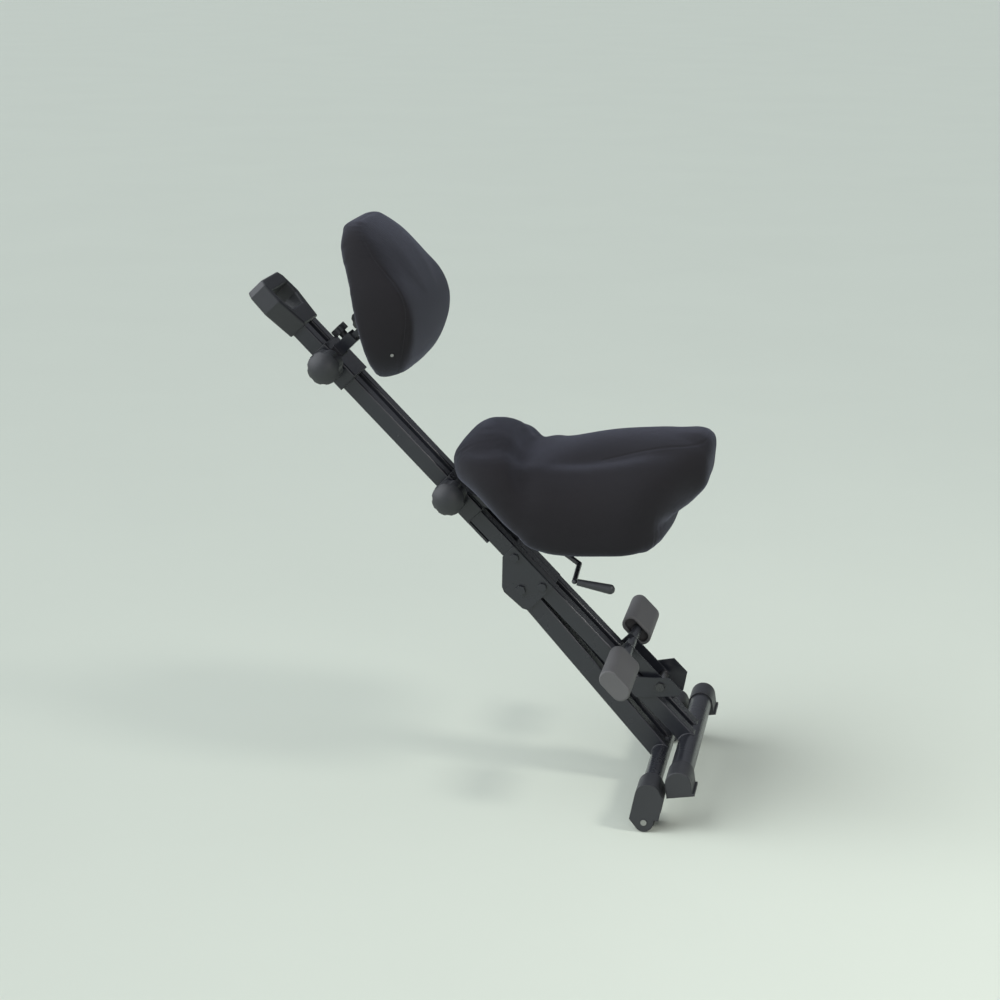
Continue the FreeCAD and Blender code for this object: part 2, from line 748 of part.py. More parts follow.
def make_wheels():
    """Wheel housings on the ends of the rear tube, with their axles and wheels."""
    axle_x = -wheel_reach
    axle_z = -size.wheel_drop
    radius = size.wheel_radius
    slot_top = axle_z + radius + size.wheel_rim_gap
    roof = slot_top + size.housing_roof
    sole_end = axle_x + radius / 2
    cheek = radius - size.housing_floor_gap
    collar_side = collar_radius * math.sin(math.radians(45.0))
    corners = [(ZERO, -housing_sole_drop), (sole_end, -housing_sole_drop),
               (sole_end - size.housing_step, axle_z - cheek * 0.8), (axle_x, axle_z),
               (axle_x - cheek * 0.8, axle_z + cheek * 0.6), (axle_x, roof), (ZERO, roof),
               (collar_side, collar_side), (collar_side, -collar_side)]
    axles = []
    for side_name, side in side_names:
        reach = span(housing_inner_end, housing_outer_end, side)
        shell = fuse(side_profile(corners, reach), crossbar(collar_radius, ZERO, ZERO, reach),
                     crossbar(cheek, axle_x, axle_z, reach))
        middle = wheel_middle * side
        slot = block((axle_x - radius * 2, axle_x + radius + size.wheel_rim_gap),
                     (middle - wheel_slot / 2, middle + wheel_slot / 2), (-housing_sole_drop * 2, slot_top))
        socket = span(housing_inner_end - size.housing_end_wall, size.rear_tube_length / 2, side)
        tube_hole = crossbar(size.rear_tube_radius + size.running_clearance, ZERO, ZERO, socket)
        axle_hole = cross_hole(size.axle_radius + size.running_clearance, axle_x, axle_z)
        node(f"wheel_housing_{side_name}", cut(shell, slot, tube_hole, axle_hole), HOUSING)
        half_width = size.wheel_width / 2
        tyre = crossbar(radius, axle_x, axle_z, (middle - half_width, middle + half_width))
        soft = rounded(tyre, size.wheel_edge_round, lambda edge: isinstance(edge.Curve, Part.Circle))
        hub = cross_hole(size.axle_radius + size.running_clearance, axle_x, axle_z)
        node(f"wheel_{side_name}", cut(soft, hub), HOUSING)
        shaft = crossbar(size.axle_radius, axle_x, axle_z, reach)
        head = crossbar(size.axle_head_radius, axle_x, axle_z,
                        span(housing_outer_end, housing_outer_end + size.axle_head_height, side))
        axles.append(fuse(shaft, head))
    node("wheel_axles", group(*axles), HOUSING)


def sleeve(bottom, top):
    """The outside and the passage of a box sleeve that slides on the two rails."""
    skin = rounded(block((-sleeve_x, sleeve_x), (-sleeve_y, sleeve_y), (bottom, top)), size.sleeve_corner,
                   lambda edge: along(edge, Vector(0, 0, 1)))
    passage = block((-sleeve_inner_x, sleeve_inner_x), (-sleeve_inner_y, sleeve_inner_y),
                    (bottom - size.sleeve_wall, top + size.sleeve_wall))
    return skin, passage


def stud_hole(height):
    """A drill through a sleeve's right wall for its clamp stud."""
    return crossbar(size.stud_radius + size.running_clearance, ZERO, height, (-sleeve_y * 2, ZERO))


def make_clamp(name, height):
    """The welded boss on a sleeve's right wall, and the knob with the stud that clamps the sleeve to the rail."""
    boss_end = sleeve_y + size.boss_length
    boss = crossbar(size.boss_radius, ZERO, height, (-boss_end, -sleeve_y))
    node(f"{name}_clamp_boss", cut(boss, stud_hole(height)))
    knob_face = boss_end + size.knob_clearance
    outward = Rotation(Vector(1, 0, 0), 90)
    frame = COLUMN.multiply(Placement(Vector(0, -knob_face.value, height.value), outward))
    node(f"{name}_clamp_knob", lobed_knob(size.knob_radius, size.knob_length, size.stud_radius), frame)
    point = half_column + size.assembly_clearance - knob_face
    shank = upright(size.stud_radius, ZERO, ZERO, (point + size.stud_tip_length, size.knob_hub_length))
    dog_point = upright(size.stud_tip_radius, ZERO, ZERO, (point, size.knob_hub_length))
    node(f"{name}_clamp_stud", fuse(shank, dog_point), frame)


def lobed_knob(radius, length, stud_radius):
    """A domed hand knob with scalloped sides on a hub; its axis is z and its stud socket is at the foot."""
    top = size.knob_hub_length + length
    hub = upright(size.knob_hub_radius, ZERO, ZERO, (ZERO, size.knob_hub_length))
    drum = upright(radius, ZERO, ZERO, (size.knob_hub_length, top))
    ball = doc.addObject("Part::Sphere", "Dome")
    bind(ball, "Radius", size.knob_dome_radius)
    move(ball, ZERO, ZERO, top - size.knob_dome_radius)
    head = common(drum, ball)
    ring = radius + size.knob_scallop_radius - size.knob_scallop_depth
    lobes = int(size.knob_lobes.value)
    scallops = []
    for index in range(lobes):
        turn = 2.0 * math.pi * index / lobes
        x = ring * math.cos(turn)
        y = ring * math.sin(turn)
        scallops.append(upright(size.knob_scallop_radius, x, y, (ZERO, top)))
    socket = upright(stud_radius, ZERO, ZERO, (-size.knob_clearance, size.knob_hub_length))
    return cut(fuse(hub, head), socket, *scallops)


def make_seat_carriage():
    """The sleeve that carries the seat, its arms, the tilt housing and the tilt pin."""
    bottom = size.seat_height
    skin, passage = sleeve(bottom, bottom + size.seat_sleeve_length)
    skirt = block((-sleeve_x, -sleeve_inner_x), (-sleeve_inner_y, sleeve_inner_y),
                  (bottom - size.seat_skirt_length, bottom + size.sleeve_wall))
    node("seat_sleeve", cut(fuse(cut(skin, passage), skirt), stud_hole(seat_knob_height)))
    make_clamp("seat", seat_knob_height)
    arm_foot = bottom + size.sleeve_wall
    reach = seat_pivot_reach
    pivot = seat_pivot_height
    arm = [(sleeve_x, arm_foot), (reach - ear_radius, pivot - ear_radius),
           (reach + ear_radius * 0.4, pivot - ear_radius), (reach + ear_radius, pivot - ear_radius * 0.4),
           (reach + ear_radius * 0.6, pivot + ear_radius * 0.5),
           (sleeve_x + size.arm_waist_reach, bottom - size.arm_waist_drop),
           (sleeve_x, arm_foot + size.arm_root_height)]
    half_width = size.tilt_housing_half_width
    pin_hole = size.seat_pin_radius + size.running_clearance
    for side_name, side in side_names:
        plate = side_profile(arm, span(half_width, half_width + size.arm_thickness, side))
        node(f"seat_arm_{side_name}", cut(plate, cross_hole(pin_hole, reach, pivot)))
    wall = size.tilt_housing_wall
    back = -size.tilt_housing_back
    front = size.tilt_housing_length - size.tilt_housing_back
    box = block((back, front), (-half_width, half_width), (tilt_housing_floor, tilt_housing_top))
    soft = rounded(box, size.sleeve_corner, lambda edge: along(edge, Vector(0, 1, 0)))
    hollow = block((back + wall, front - wall), (wall - half_width, half_width - wall),
                   (tilt_housing_floor - wall, tilt_housing_top - size.tilt_housing_roof))
    lever_radius = size.lever_rod_radius + size.running_clearance
    lever_hole = cross_hole(lever_radius, size.lever_shaft_forward, lever_shaft_z)
    node("tilt_housing", cut(soft, hollow, cross_hole(pin_hole, ZERO, ZERO), lever_hole), SEAT)
    pin_end = ear_outer + size.ear_gap
    head_end = pin_end + size.seat_pin_head_height
    head_radius = size.seat_pin_radius + size.bolt_head_overhang
    node("seat_tilt_pin", fuse(crossbar(size.seat_pin_radius, ZERO, ZERO, (-pin_end, pin_end)),
                               crossbar(head_radius, ZERO, ZERO, (-head_end, -pin_end)),
                               crossbar(head_radius, ZERO, ZERO, (pin_end, head_end))), SEAT)


def make_tilt_lever():
    """The cranked tilt lever: a rod with two bends and a moulded grip."""
    rod = size.lever_rod_radius
    shaft = Vector(size.lever_shaft_forward.value, 0, lever_shaft_z.value)
    low = shaft + Vector(size.lever_step_forward.value, 0, -size.lever_step_drop.value)
    inner = size.tilt_housing_half_width.value
    step = -(ear_outer + size.lever_step_standoff).value
    outer = step - size.lever_cross_length.value
    end = low + Vector(size.lever_cross_forward.value, 0, -size.lever_cross_drop.value)
    route = [Vector(shaft.x, inner, shaft.z), Vector(shaft.x, step, shaft.z), Vector(low.x, step, low.z),
             Vector(end.x, outer, end.z)]
    pieces = []
    for start, end in zip(route[:-1], route[1:]):
        pieces.append(rod_between(rod, start, end))
    for bend in route[1:]:
        pieces.append(ball_at(rod, bend))
    node("tilt_lever_rod", fuse(*pieces), SEAT)
    slope = math.radians(size.lever_grip_angle.value)
    run = Vector(math.cos(slope), 0, -math.sin(slope))
    grip = doc.addObject("Part::Cone", "Grip")
    bind(grip, "Radius1", size.lever_grip_thin)
    bind(grip, "Radius2", size.lever_grip_thick)
    bind(grip, "Height", size.lever_grip_length)
    foot = route[-1] + run * (rod + size.assembly_clearance).value
    grip.Placement = Placement(foot, Rotation(Vector(0, 0, 1), run))
    tip = ball_at(size.lever_grip_thick, foot + run * size.lever_grip_length.value)
    node("tilt_lever_grip", cut(fuse(grip, tip), ball_at(rod, route[-1])), SEAT)


def rod_between(radius, start, end):
    """A round rod from one point to another."""
    rod = doc.addObject("Part::Cylinder", "Rod")
    bind(rod, "Radius", radius)
    rod.Height = (end - start).Length
    rod.Placement = Placement(start, Rotation(Vector(0, 0, 1), end - start))
    return rod


def ball_at(radius, centre):
    """A ball, such as the outside of a rod's bend."""
    ball = doc.addObject("Part::Sphere", "Ball")
    bind(ball, "Radius", radius)
    ball.Placement = Placement(centre, Rotation())
    return ball


def make_seat():
    """The bracket that tilts on the pin, the pan, its screws and the saddle cushion."""
    plate = block((-size.tilt_housing_back, size.bracket_front), (-ear_outer, ear_outer),
                  (bracket_bottom, pan_bottom))
    ears = []
    for side_name, side in side_names:
        reach = span(ear_inner, ear_outer, side)
        ears.append(crossbar(ear_radius, ZERO, ZERO, reach))
        ears.append(block((-ear_radius, ear_radius), reach, (ZERO, pan_bottom)))
    pin_hole = cross_hole(size.seat_pin_radius + size.running_clearance, ZERO, ZERO)
    half_spacing = size.seat_screw_spacing / 2
    middle = size.bracket_front / 2
    fit = size.assembly_clearance
    holes = []
    screws = []
    for x in (middle - half_spacing, middle + half_spacing):
        for y in (-half_spacing, half_spacing):
            holes.append(upright(size.seat_screw_radius + fit, x, y, (ZERO, pan_top)))
            shank = upright(size.seat_screw_radius, x, y, (bracket_bottom, pan_bottom))
            head = upright(size.seat_screw_head_radius, x, y,
                           (bracket_bottom - size.seat_screw_head_height, bracket_bottom))
            screws.append(fuse(shank, head))
    node("seat_bracket", cut(fuse(plate, *ears), pin_hole, *holes), SEAT)
    node("seat_screws", group(*screws), SEAT)
    half_width = size.pan_half_width
    board = block((-size.pan_back, size.pan_front), (-half_width, half_width), (pan_bottom, pan_top))
    node("seat_pan", rounded(board, size.pan_corner, lambda edge: along(edge, Vector(0, 0, 1))), SEAT)
    node("seat_cushion", saddle_cushion(), SEAT)


# Saddle sections from the back to the nose, as shares of the saddle's length, half width and height: place along
# it, crown height, shoulder width and height, widest width and its height, underside width and height
SADDLE_SECTIONS = (
    (0.00, 0.83, 0.36, 0.79, 0.46, 0.70, 0.36, 0.60),
    (0.05, 0.94, 0.60, 0.82, 0.74, 0.67, 0.60, 0.53),
    (0.145, 0.99, 0.72, 0.84, 0.92, 0.62, 0.79, 0.38),
    (0.285, 0.82, 0.72, 0.77, 0.995, 0.44, 0.91, 0.11),
    (0.43, 0.855, 0.56, 0.72, 1.00, 0.38, 0.93, 0.00),
    (0.615, 0.95, 0.52, 0.76, 0.99, 0.365, 0.935, 0.01),
    (0.77, 0.98, 0.48, 0.835, 0.94, 0.38, 0.86, 0.05),
    (0.875, 1.00, 0.45, 0.88, 0.68, 0.55, 0.55, 0.25),
    (0.955, 1.00, 0.37, 0.905, 0.47, 0.70, 0.36, 0.45),
    (1.00, 0.89, 0.21, 0.855, 0.265, 0.79, 0.195, 0.70),
)


def saddle_section(shares):
    """One cross section of the saddle: a flat underside, two drawn-in flanks and a crowned top."""
    place, crown, shoulder, shoulder_rise, wide, wide_rise, foot, foot_rise = shares
    x = place * size.saddle_length.value - size.saddle_back.value

    def point(width, rise):
        return Vector(x, width * size.saddle_half_width.value,
                      rise * size.saddle_height.value - size.saddle_drop.value)

    edges = [
        Part.LineSegment(point(-foot, foot_rise), point(foot, foot_rise)).toShape(),
        Part.Arc(point(foot, foot_rise), point(wide, wide_rise), point(shoulder, shoulder_rise)).toShape(),
        Part.Arc(point(shoulder, shoulder_rise), point(0, crown), point(-shoulder, shoulder_rise)).toShape(),
        Part.Arc(point(-shoulder, shoulder_rise), point(-wide, wide_rise), point(-foot, foot_rise)).toShape(),
    ]
    return Part.Wire(edges)


def saddle_cushion():
    """The saddle seat: a cantle at the back, a valley, a nose, and side flaps round a recess for the pan."""
    body = Part.makeLoft([saddle_section(shares) for shares in SADDLE_SECTIONS], True, False)
    gap = size.saddle_recess_gap.value
    back = -size.saddle_back.value - gap
    front = size.pan_front.value + gap
    half_width = size.pan_half_width.value + gap
    ceiling = pan_top.value + size.soft_clearance.value
    floor = -size.saddle_drop.value - gap
    recess = Part.makeBox(front - back, 2 * half_width, ceiling - floor, Vector(back, -half_width, floor))
    piece = doc.addObject("Part::Feature", "Saddle")
    piece.Shape = body.cut(recess)
    return piece


def make_back_carriage():
    """The sleeve that carries the backrest, its bar guide, and the depth bar with its star screw."""
    play = size.depth_bar_clearance
    bar_y = depth_bar_half_width
    skin, passage = sleeve(back_height, back_height + size.back_sleeve_length)
    slot_y = (-bar_y - play, bar_y + play)
    slot_z = (depth_bar_low - play, depth_bar_high + play)
    slot = block((-sleeve_x * 2, sleeve_x * 2), slot_y, slot_z)
    node("backrest_sleeve", cut(skin, passage, slot, stud_hole(back_knob_height)))
    make_clamp("backrest", back_knob_height)
    half_guide = bar_y + play + size.guide_side_wall
    guide = block((sleeve_x, guide_front), (-half_guide, half_guide), (guide_low, guide_high))
    guide_slot = block((ZERO, guide_front * 2), slot_y, slot_z)
    screw_hole = upright(size.star_stud_radius + size.running_clearance, star_reach, ZERO,
                         (depth_bar_height, guide_high + size.guide_floor))
    node("depth_bar_guide", cut(guide, guide_slot, screw_hole))
    flat = block((-size.depth_bar_tail, back_pivot_reach), (-bar_y, bar_y), (depth_bar_low, depth_bar_high))
    barrel = crossbar(back_barrel_radius, back_pivot_reach, back_pivot_height, (-bar_y, bar_y))
    pin_hole = cross_hole(size.back_pin_radius + size.running_clearance, back_pivot_reach, back_pivot_height)
    node("depth_bar", cut(fuse(flat, barrel), pin_hole))
    make_star_screw()


def make_star_screw():
    """The star knob and its stud, which press the depth bar in its guide."""
    play = size.depth_bar_clearance
    stem_top = guide_high + size.star_stem
    star_top = stem_top + size.star_height
    head = upright(size.star_radius, star_reach, ZERO, (stem_top, star_top))
    ring = size.star_radius + size.star_notch_radius - size.star_notch_depth
    lobes = int(size.star_lobes.value)
    notches = []
    for index in range(lobes):
        turn = 2.0 * math.pi * (index + 0.5) / lobes
        x = star_reach + ring * math.cos(turn)
        y = ring * math.sin(turn)
        notches.append(upright(size.star_notch_radius, x, y, (guide_high, star_top + size.star_stem)))
    stem = upright(size.star_stud_radius, star_reach, ZERO, (depth_bar_high + play, star_top))
    collar = upright(size.star_collar_radius, star_reach, ZERO, (guide_high + play, star_top))
    node("depth_star_screw", fuse(cut(head, *notches), stem, collar))


def make_backrest():
    """The backrest shell with its ears, the knob whose stud is the hinge pin, and the cushion with its screws."""
    ear_near = depth_bar_half_width + size.back_ear_gap
    ear_far = ear_near + size.back_ear_thickness
    half_width = size.shell_half_width
    board = block((shell_back, shell_front), (-half_width, half_width), (-size.shell_bottom, size.shell_top))
    soft = rounded(board, size.shell_corner, lambda edge: along(edge, Vector(1, 0, 0)))
    ears = []
    for side_name, side in side_names:
        reach = span(ear_near, ear_far, side)
        ears.append(crossbar(back_barrel_radius, ZERO, ZERO, reach))
        ears.append(block((ZERO, shell_front), reach, (-back_barrel_radius, back_barrel_radius)))
    pin_hole = cross_hole(size.back_pin_radius + size.running_clearance, ZERO, ZERO)
    middle = (size.shell_top - size.shell_bottom) / 2
    half_rise = size.back_screw_rise / 2
    holes = []
    screws = []
    for y in (-size.back_screw_spread, size.back_screw_spread):
        for z in (middle - half_rise, middle + half_rise):
            hole = size.back_screw_radius + size.assembly_clearance
            holes.append(forward_bar(hole, y, z, (ZERO, shell_front * 2)))
            shank = forward_bar(size.back_screw_radius, y, z, (shell_back, shell_front))
            head_x = (shell_back - size.back_screw_head_height, shell_back)
            head = forward_bar(size.back_screw_head_radius, y, z, head_x)
            screws.append(fuse(shank, head))
    node("backrest_shell", cut(fuse(soft, *ears), pin_hole, *holes), BACK)
    node("backrest_screws", group(*screws), BACK)
    node("backrest_cushion", back_cushion(), BACK)
    knob_foot = ear_far + size.knob_clearance
    frame = BACK.multiply(Placement(Vector(0, knob_foot.value, 0), Rotation(Vector(1, 0, 0), -90)))
    knob = lobed_knob(size.tilt_knob_radius, size.tilt_knob_length, size.back_pin_radius)
    node("backrest_tilt_knob", knob, frame)
    pin_end = -knob_foot * 2
    pin = upright(size.back_pin_radius, ZERO, ZERO, (pin_end, size.knob_hub_length))
    nut = upright(size.back_nut_radius, ZERO, ZERO, (pin_end - size.bolt_head_height, pin_end))
    node("backrest_tilt_pin", fuse(pin, nut), frame)


# Backrest sections from the bottom to the top, as shares of the pad's height, half width and thickness:
# place up it, half width, thickness at the middle and thickness at the edge
BACK_SECTIONS = (
    (0.00, 0.545, 0.415, 0.35),
    (0.05, 0.73, 0.64, 0.57),
    (0.17, 0.92, 0.845, 0.78),
    (0.36, 1.00, 1.00, 0.935),
    (0.55, 0.975, 0.92, 0.855),
    (0.74, 0.855, 0.70, 0.615),
    (0.90, 0.66, 0.46, 0.385),
    (1.00, 0.40, 0.305, 0.24),
)


def back_section(shares):
    """One level section of the backrest pad: a flat back, rounded ends and a crowned front."""
    place, width, middle, edge = shares
    height = place * size.back_pad_height.value - size.back_pad_bottom.value
    half = width * size.back_pad_half_width.value
    bulge = half + size.back_pad_end_bulge.value
    back = (shell_front + size.soft_clearance).value
    edge_front = back + edge * size.back_pad_thickness.value
    middle_front = back + middle * size.back_pad_thickness.value
    waist = (back + edge_front) / 2
    right_back = Vector(back, -half, height)
    left_back = Vector(back, half, height)
    right_front = Vector(edge_front, -half, height)
    left_front = Vector(edge_front, half, height)
    edges = [
        Part.LineSegment(left_back, right_back).toShape(),
        Part.Arc(right_back, Vector(waist, -bulge, height), right_front).toShape(),
        Part.Arc(right_front, Vector(middle_front, 0, height), left_front).toShape(),
        Part.Arc(left_front, Vector(waist, bulge, height), left_back).toShape(),
    ]
    return Part.Wire(edges)


def back_cushion():
    """The backrest pad, thick at the small of the back and thin at the top."""
    piece = doc.addObject("Part::Feature", "BackPad")
    piece.Shape = Part.makeLoft([back_section(shares) for shares in BACK_SECTIONS], True, False)
    return piece


def make_footrest():
    """The side plates, the right one cut short, the pivot bolt, and the folding arm with its bar and pads."""
    reach = rest_pivot_reach
    pivot = rest_pivot_height
    front = reach + size.rest_plate_margin
    corner = size.rest_plate_corner
    plate_top = size.rest_height + size.rest_plate_length
    plate_foot = size.rest_height
    full = [(-half_rail, plate_foot), (front - corner * 2, plate_foot), (front, plate_foot + corner * 1.4),
            (front, plate_top - size.rest_plate_top_drop), (half_rail, plate_top), (-half_rail, plate_top)]
    short_front = front - size.short_plate_inset
    short_foot = plate_foot + size.short_plate_foot
    short = [(-half_rail, short_foot + size.short_plate_rake), (short_front - corner * 0.75, short_foot),
             (short_front, short_foot + corner * 0.25), (short_front, plate_top - size.short_plate_top_drop),
             (half_rail, plate_top), (-half_rail, plate_top)]
    outlines = {"right": short, "left": full}
    pin_hole = size.rest_pin_radius + size.running_clearance
    for side_name, side in side_names:
        plate = side_profile(outlines[side_name], span(half_column, plate_outer, side))
        node(f"footrest_plate_{side_name}", cut(plate, cross_hole(pin_hole, reach, pivot)))
    node("footrest_pivot_bolt", cross_bolt(size.rest_pin_radius, reach, pivot, plate_outer))
    make_footrest_arm(pin_hole)
    make_footrest_pads()


def make_footrest_arm(pin_hole):
    """The folding channel with its pivot sleeve and stop bolt."""
    half = size.rest_arm_half_width
    inner = half - size.rest_arm_thickness
    rise = size.rest_bar_rise
    web_front = size.rest_arm_thickness - rest_arm_back
    flanges = [block((-rest_arm_back, size.rest_arm_front), span(inner, half, side),
                     (-size.rest_arm_foot, rise + size.rest_arm_end)) for side_name, side in side_names]
    web = block((-rest_arm_back, web_front), (-half, half), (size.rest_web_gap, rise - size.rest_arm_end))
    bar_hole = cross_hole(size.rest_bar_radius + size.running_clearance, ZERO, rise)
    stop_hole = forward_bar(size.stop_bolt_radius + size.assembly_clearance, ZERO, size.stop_bolt_rise,
                            (-rest_arm_back * 2, ZERO))
    arm = cut(fuse(web, *flanges), bar_hole, cross_hole(pin_hole, ZERO, ZERO), stop_hole)
    node("footrest_arm", arm, FOOTREST)
    sleeve_end = inner - size.assembly_clearance
    tube = crossbar(rest_sleeve_radius, ZERO, ZERO, (-sleeve_end, sleeve_end))
    node("footrest_pivot_sleeve", cut(tube, cross_hole(pin_hole, ZERO, ZERO)), FOOTREST)
    head = forward_bar(size.stop_bolt_radius + size.bolt_head_overhang, ZERO, size.stop_bolt_rise,
                       (web_front, web_front + size.bolt_head_height))
    shank = forward_bar(size.stop_bolt_radius, ZERO, size.stop_bolt_rise, (-rest_arm_back, web_front))
    node("footrest_stop_bolt", fuse(head, shank), FOOTREST)


def make_footrest_pads():
    """The bar and the two rubber pads on its ends."""
    rise = size.rest_bar_rise
    pad_end = size.rest_pad_inner + size.rest_pad_length
    bar_end = pad_end - size.rest_pad_end_wall
    bar = crossbar(size.rest_bar_radius, ZERO, rise, (-bar_end, bar_end))
    bar_bore = cross_hole(size.rest_bar_radius - size.rest_bar_wall, ZERO, rise)
    node("footrest_bar", cut(bar, bar_bore), FOOTREST)
    half_pad = size.rest_pad_thickness / 2
    flat = size.rest_pad_height / 2 - half_pad
    for side_name, side in side_names:
        length = span(size.rest_pad_inner, pad_end, side)
        stadium = fuse(block((-half_pad, half_pad), length, (rise - flat, rise + flat)),
                       crossbar(half_pad, ZERO, rise - flat, length),
                       crossbar(half_pad, ZERO, rise + flat, length))
        ends = (length[0].value, length[1].value)
        soft = rounded(stadium, size.rest_pad_round,
                       lambda edge, ends=ends: any(on_plane(edge, "Y", end) for end in ends))
        bore = crossbar(size.rest_bar_radius + size.running_clearance, ZERO, rise,
                        span(size.rest_pad_inner - half_pad, bar_end, side))
        open_y = span(size.rest_pad_inner - half_pad, size.rest_pad_inner + size.rest_pad_recess, side)
        half_open = half_pad - size.rest_pad_rim
        recess = [block((-half_open, half_open), open_y, (rise - flat, rise + flat)),
                  crossbar(half_open, ZERO, rise - flat, open_y),
                  crossbar(half_open, ZERO, rise + flat, open_y)]
        node(f"footrest_pad_{side_name}", cut(soft, bore, *recess), FOOTREST)


def check_document():
    """Stop if any object failed to build or any piece has no valid solid."""
    doc.recompute()
    for obj in doc.Objects:
        if "Invalid" in obj.State or "Error" in obj.State:
            raise RuntimeError(f"{obj.Name} ({obj.Label}) failed: {obj.State}")
    for piece in nodes:
        if piece.Shape.isNull() or not piece.Shape.isValid() or not piece.Shape.Solids:
            raise RuntimeError(f"{piece.Label} has no valid solid")


make_column()
make_handle()
make_base()
make_hinge()
make_rear_leg()
make_wheels()
make_seat_carriage()
make_tilt_lever()
make_seat()
make_back_carriage()
make_backrest()
make_footrest()
check_document()

os.makedirs("parts", exist_ok=True)
for piece in nodes:
    piece.Shape.exportStep(f"parts/{piece.Label}.step")
    print(f"{piece.Label}: {len(piece.Shape.Solids)} solid(s), {piece.Shape.Volume / 1000.0:.2f} cm3")
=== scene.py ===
import json
import math

import bpy
import numpy as np
from mathutils import Matrix, Vector
from mathutils.bvhtree import BVHTree
from mathutils.kdtree import KDTree


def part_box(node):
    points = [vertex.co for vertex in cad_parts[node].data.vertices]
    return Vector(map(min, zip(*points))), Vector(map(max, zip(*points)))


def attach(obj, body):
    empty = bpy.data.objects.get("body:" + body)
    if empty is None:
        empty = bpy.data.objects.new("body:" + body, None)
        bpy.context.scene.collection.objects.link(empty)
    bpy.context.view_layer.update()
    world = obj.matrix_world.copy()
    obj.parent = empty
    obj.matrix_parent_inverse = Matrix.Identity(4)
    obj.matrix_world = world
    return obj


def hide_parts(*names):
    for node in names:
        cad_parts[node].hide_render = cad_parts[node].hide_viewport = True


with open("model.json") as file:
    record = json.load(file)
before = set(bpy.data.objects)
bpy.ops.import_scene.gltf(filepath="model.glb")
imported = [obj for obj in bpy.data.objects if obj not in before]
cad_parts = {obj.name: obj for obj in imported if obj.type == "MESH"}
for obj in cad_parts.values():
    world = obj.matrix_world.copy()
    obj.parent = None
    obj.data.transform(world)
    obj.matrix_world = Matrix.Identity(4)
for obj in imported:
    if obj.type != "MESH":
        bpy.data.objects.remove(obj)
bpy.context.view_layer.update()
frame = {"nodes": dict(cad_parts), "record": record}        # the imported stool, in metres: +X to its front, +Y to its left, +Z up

bl_info = {
    "name": "Folding sit-stand stool",
    "version": (1, 0, 0),
    "blender": (4, 5, 0),
    "location": "View3D > Sidebar > Stool",
    "description": "Dresses a folding sit-stand stool with upholstery, moulded plastic and powder-coated steel",
    "category": "Object",
}

SENSOR_WIDTH = 36.0
SIDES = (-1, 1)        # right and left
JOINTS = {joint["name"]: joint for joint in frame["record"]["behaviour"]["joints"]}
SEAT_HINGE = Vector(JOINTS["seat_tilt"]["pos_m"])
BACK_HINGE = Vector(JOINTS["backrest_tilt"]["pos_m"])
BACK_LEAN = math.radians(-13.0)
RAIL_UP = Vector(JOINTS["seat_height"]["axis"])
RAIL_FRONT = Vector(JOINTS["backrest_depth"]["axis"])
MILLIMETRE = 0.001

# Sizes of the solids that small parts sit on, in millimetres in the column's frame
TUBE_SETBACK = 4.0
BASE_RADIUS = 17.5
REAR_RADIUS = 14.0
RAIL_HALF = 12.5
COLUMN_SIDE = 36.0
LEG_SIDE = 35.0
SLEEVE_FRONT = 16.5
SLEEVE_SIDE = 40.0
ARM_SIDE = 32.0
BOSS_RADIUS = 11.0
GUIDE_SIDE = 15.0
GUIDE_FOOT = 802.5
GUIDE_TOP = 821.5
PLATE_WELDS = {-1: (92.0, 128.0), 1: (62.0, 128.0)}
SLEEVE_ENDS = {"seat_carriage": (485.0, 556.0), "backrest_carriage": (766.0, 832.0)}


# Settings

TINT = {"subtype": "COLOR", "min": 0.0, "max": 1.0}


class StoolColours(bpy.types.PropertyGroup):
    """Colours of the stool's finishes."""
    powder_coat: bpy.props.FloatVectorProperty(
        name="Powder coat", description="Satin black on the tubes and plates",
        default=(0.017, 0.0185, 0.0240), **TINT)
    cloth: bpy.props.FloatVectorProperty(
        name="Cloth", description="Knitted cover of the seat and the backrest",
        default=(0.0125, 0.012, 0.0145), **TINT)
    cloth_sheen: bpy.props.FloatVectorProperty(
        name="Cloth sheen", description="Soft light on the pile at a grazing angle",
        default=(0.60, 0.64, 0.84), **TINT)
    thread: bpy.props.FloatVectorProperty(
        name="Thread", description="Sewing thread along the seams",
        default=(0.010, 0.010, 0.012), **TINT)
    plastic: bpy.props.FloatVectorProperty(
        name="Moulded plastic", description="Handle, knobs, feet and wheel housings",
        default=(0.026, 0.0275, 0.0310), **TINT)
    pad_rubber: bpy.props.FloatVectorProperty(
        name="Footrest rubber", description="Grey rubber of the footrest pads",
        default=(0.105, 0.104, 0.105), **TINT)
    tyre_rubber: bpy.props.FloatVectorProperty(
        name="Tyre rubber", description="Black rubber of the two wheels",
        default=(0.020, 0.020, 0.021), **TINT)
    dark_plating: bpy.props.FloatVectorProperty(
        name="Dark plating", description="Footrest bolt and backrest pin",
        default=(0.10, 0.10, 0.105), **TINT)
    plated_steel: bpy.props.FloatVectorProperty(
        name="Plated steel", description="Bolts, pins, screws and axles",
        default=(0.45, 0.45, 0.44), **TINT)
    floor: bpy.props.FloatVectorProperty(
        name="Floor", description="Plain pale floor",
        default=(0.68, 0.73, 0.63), **TINT)


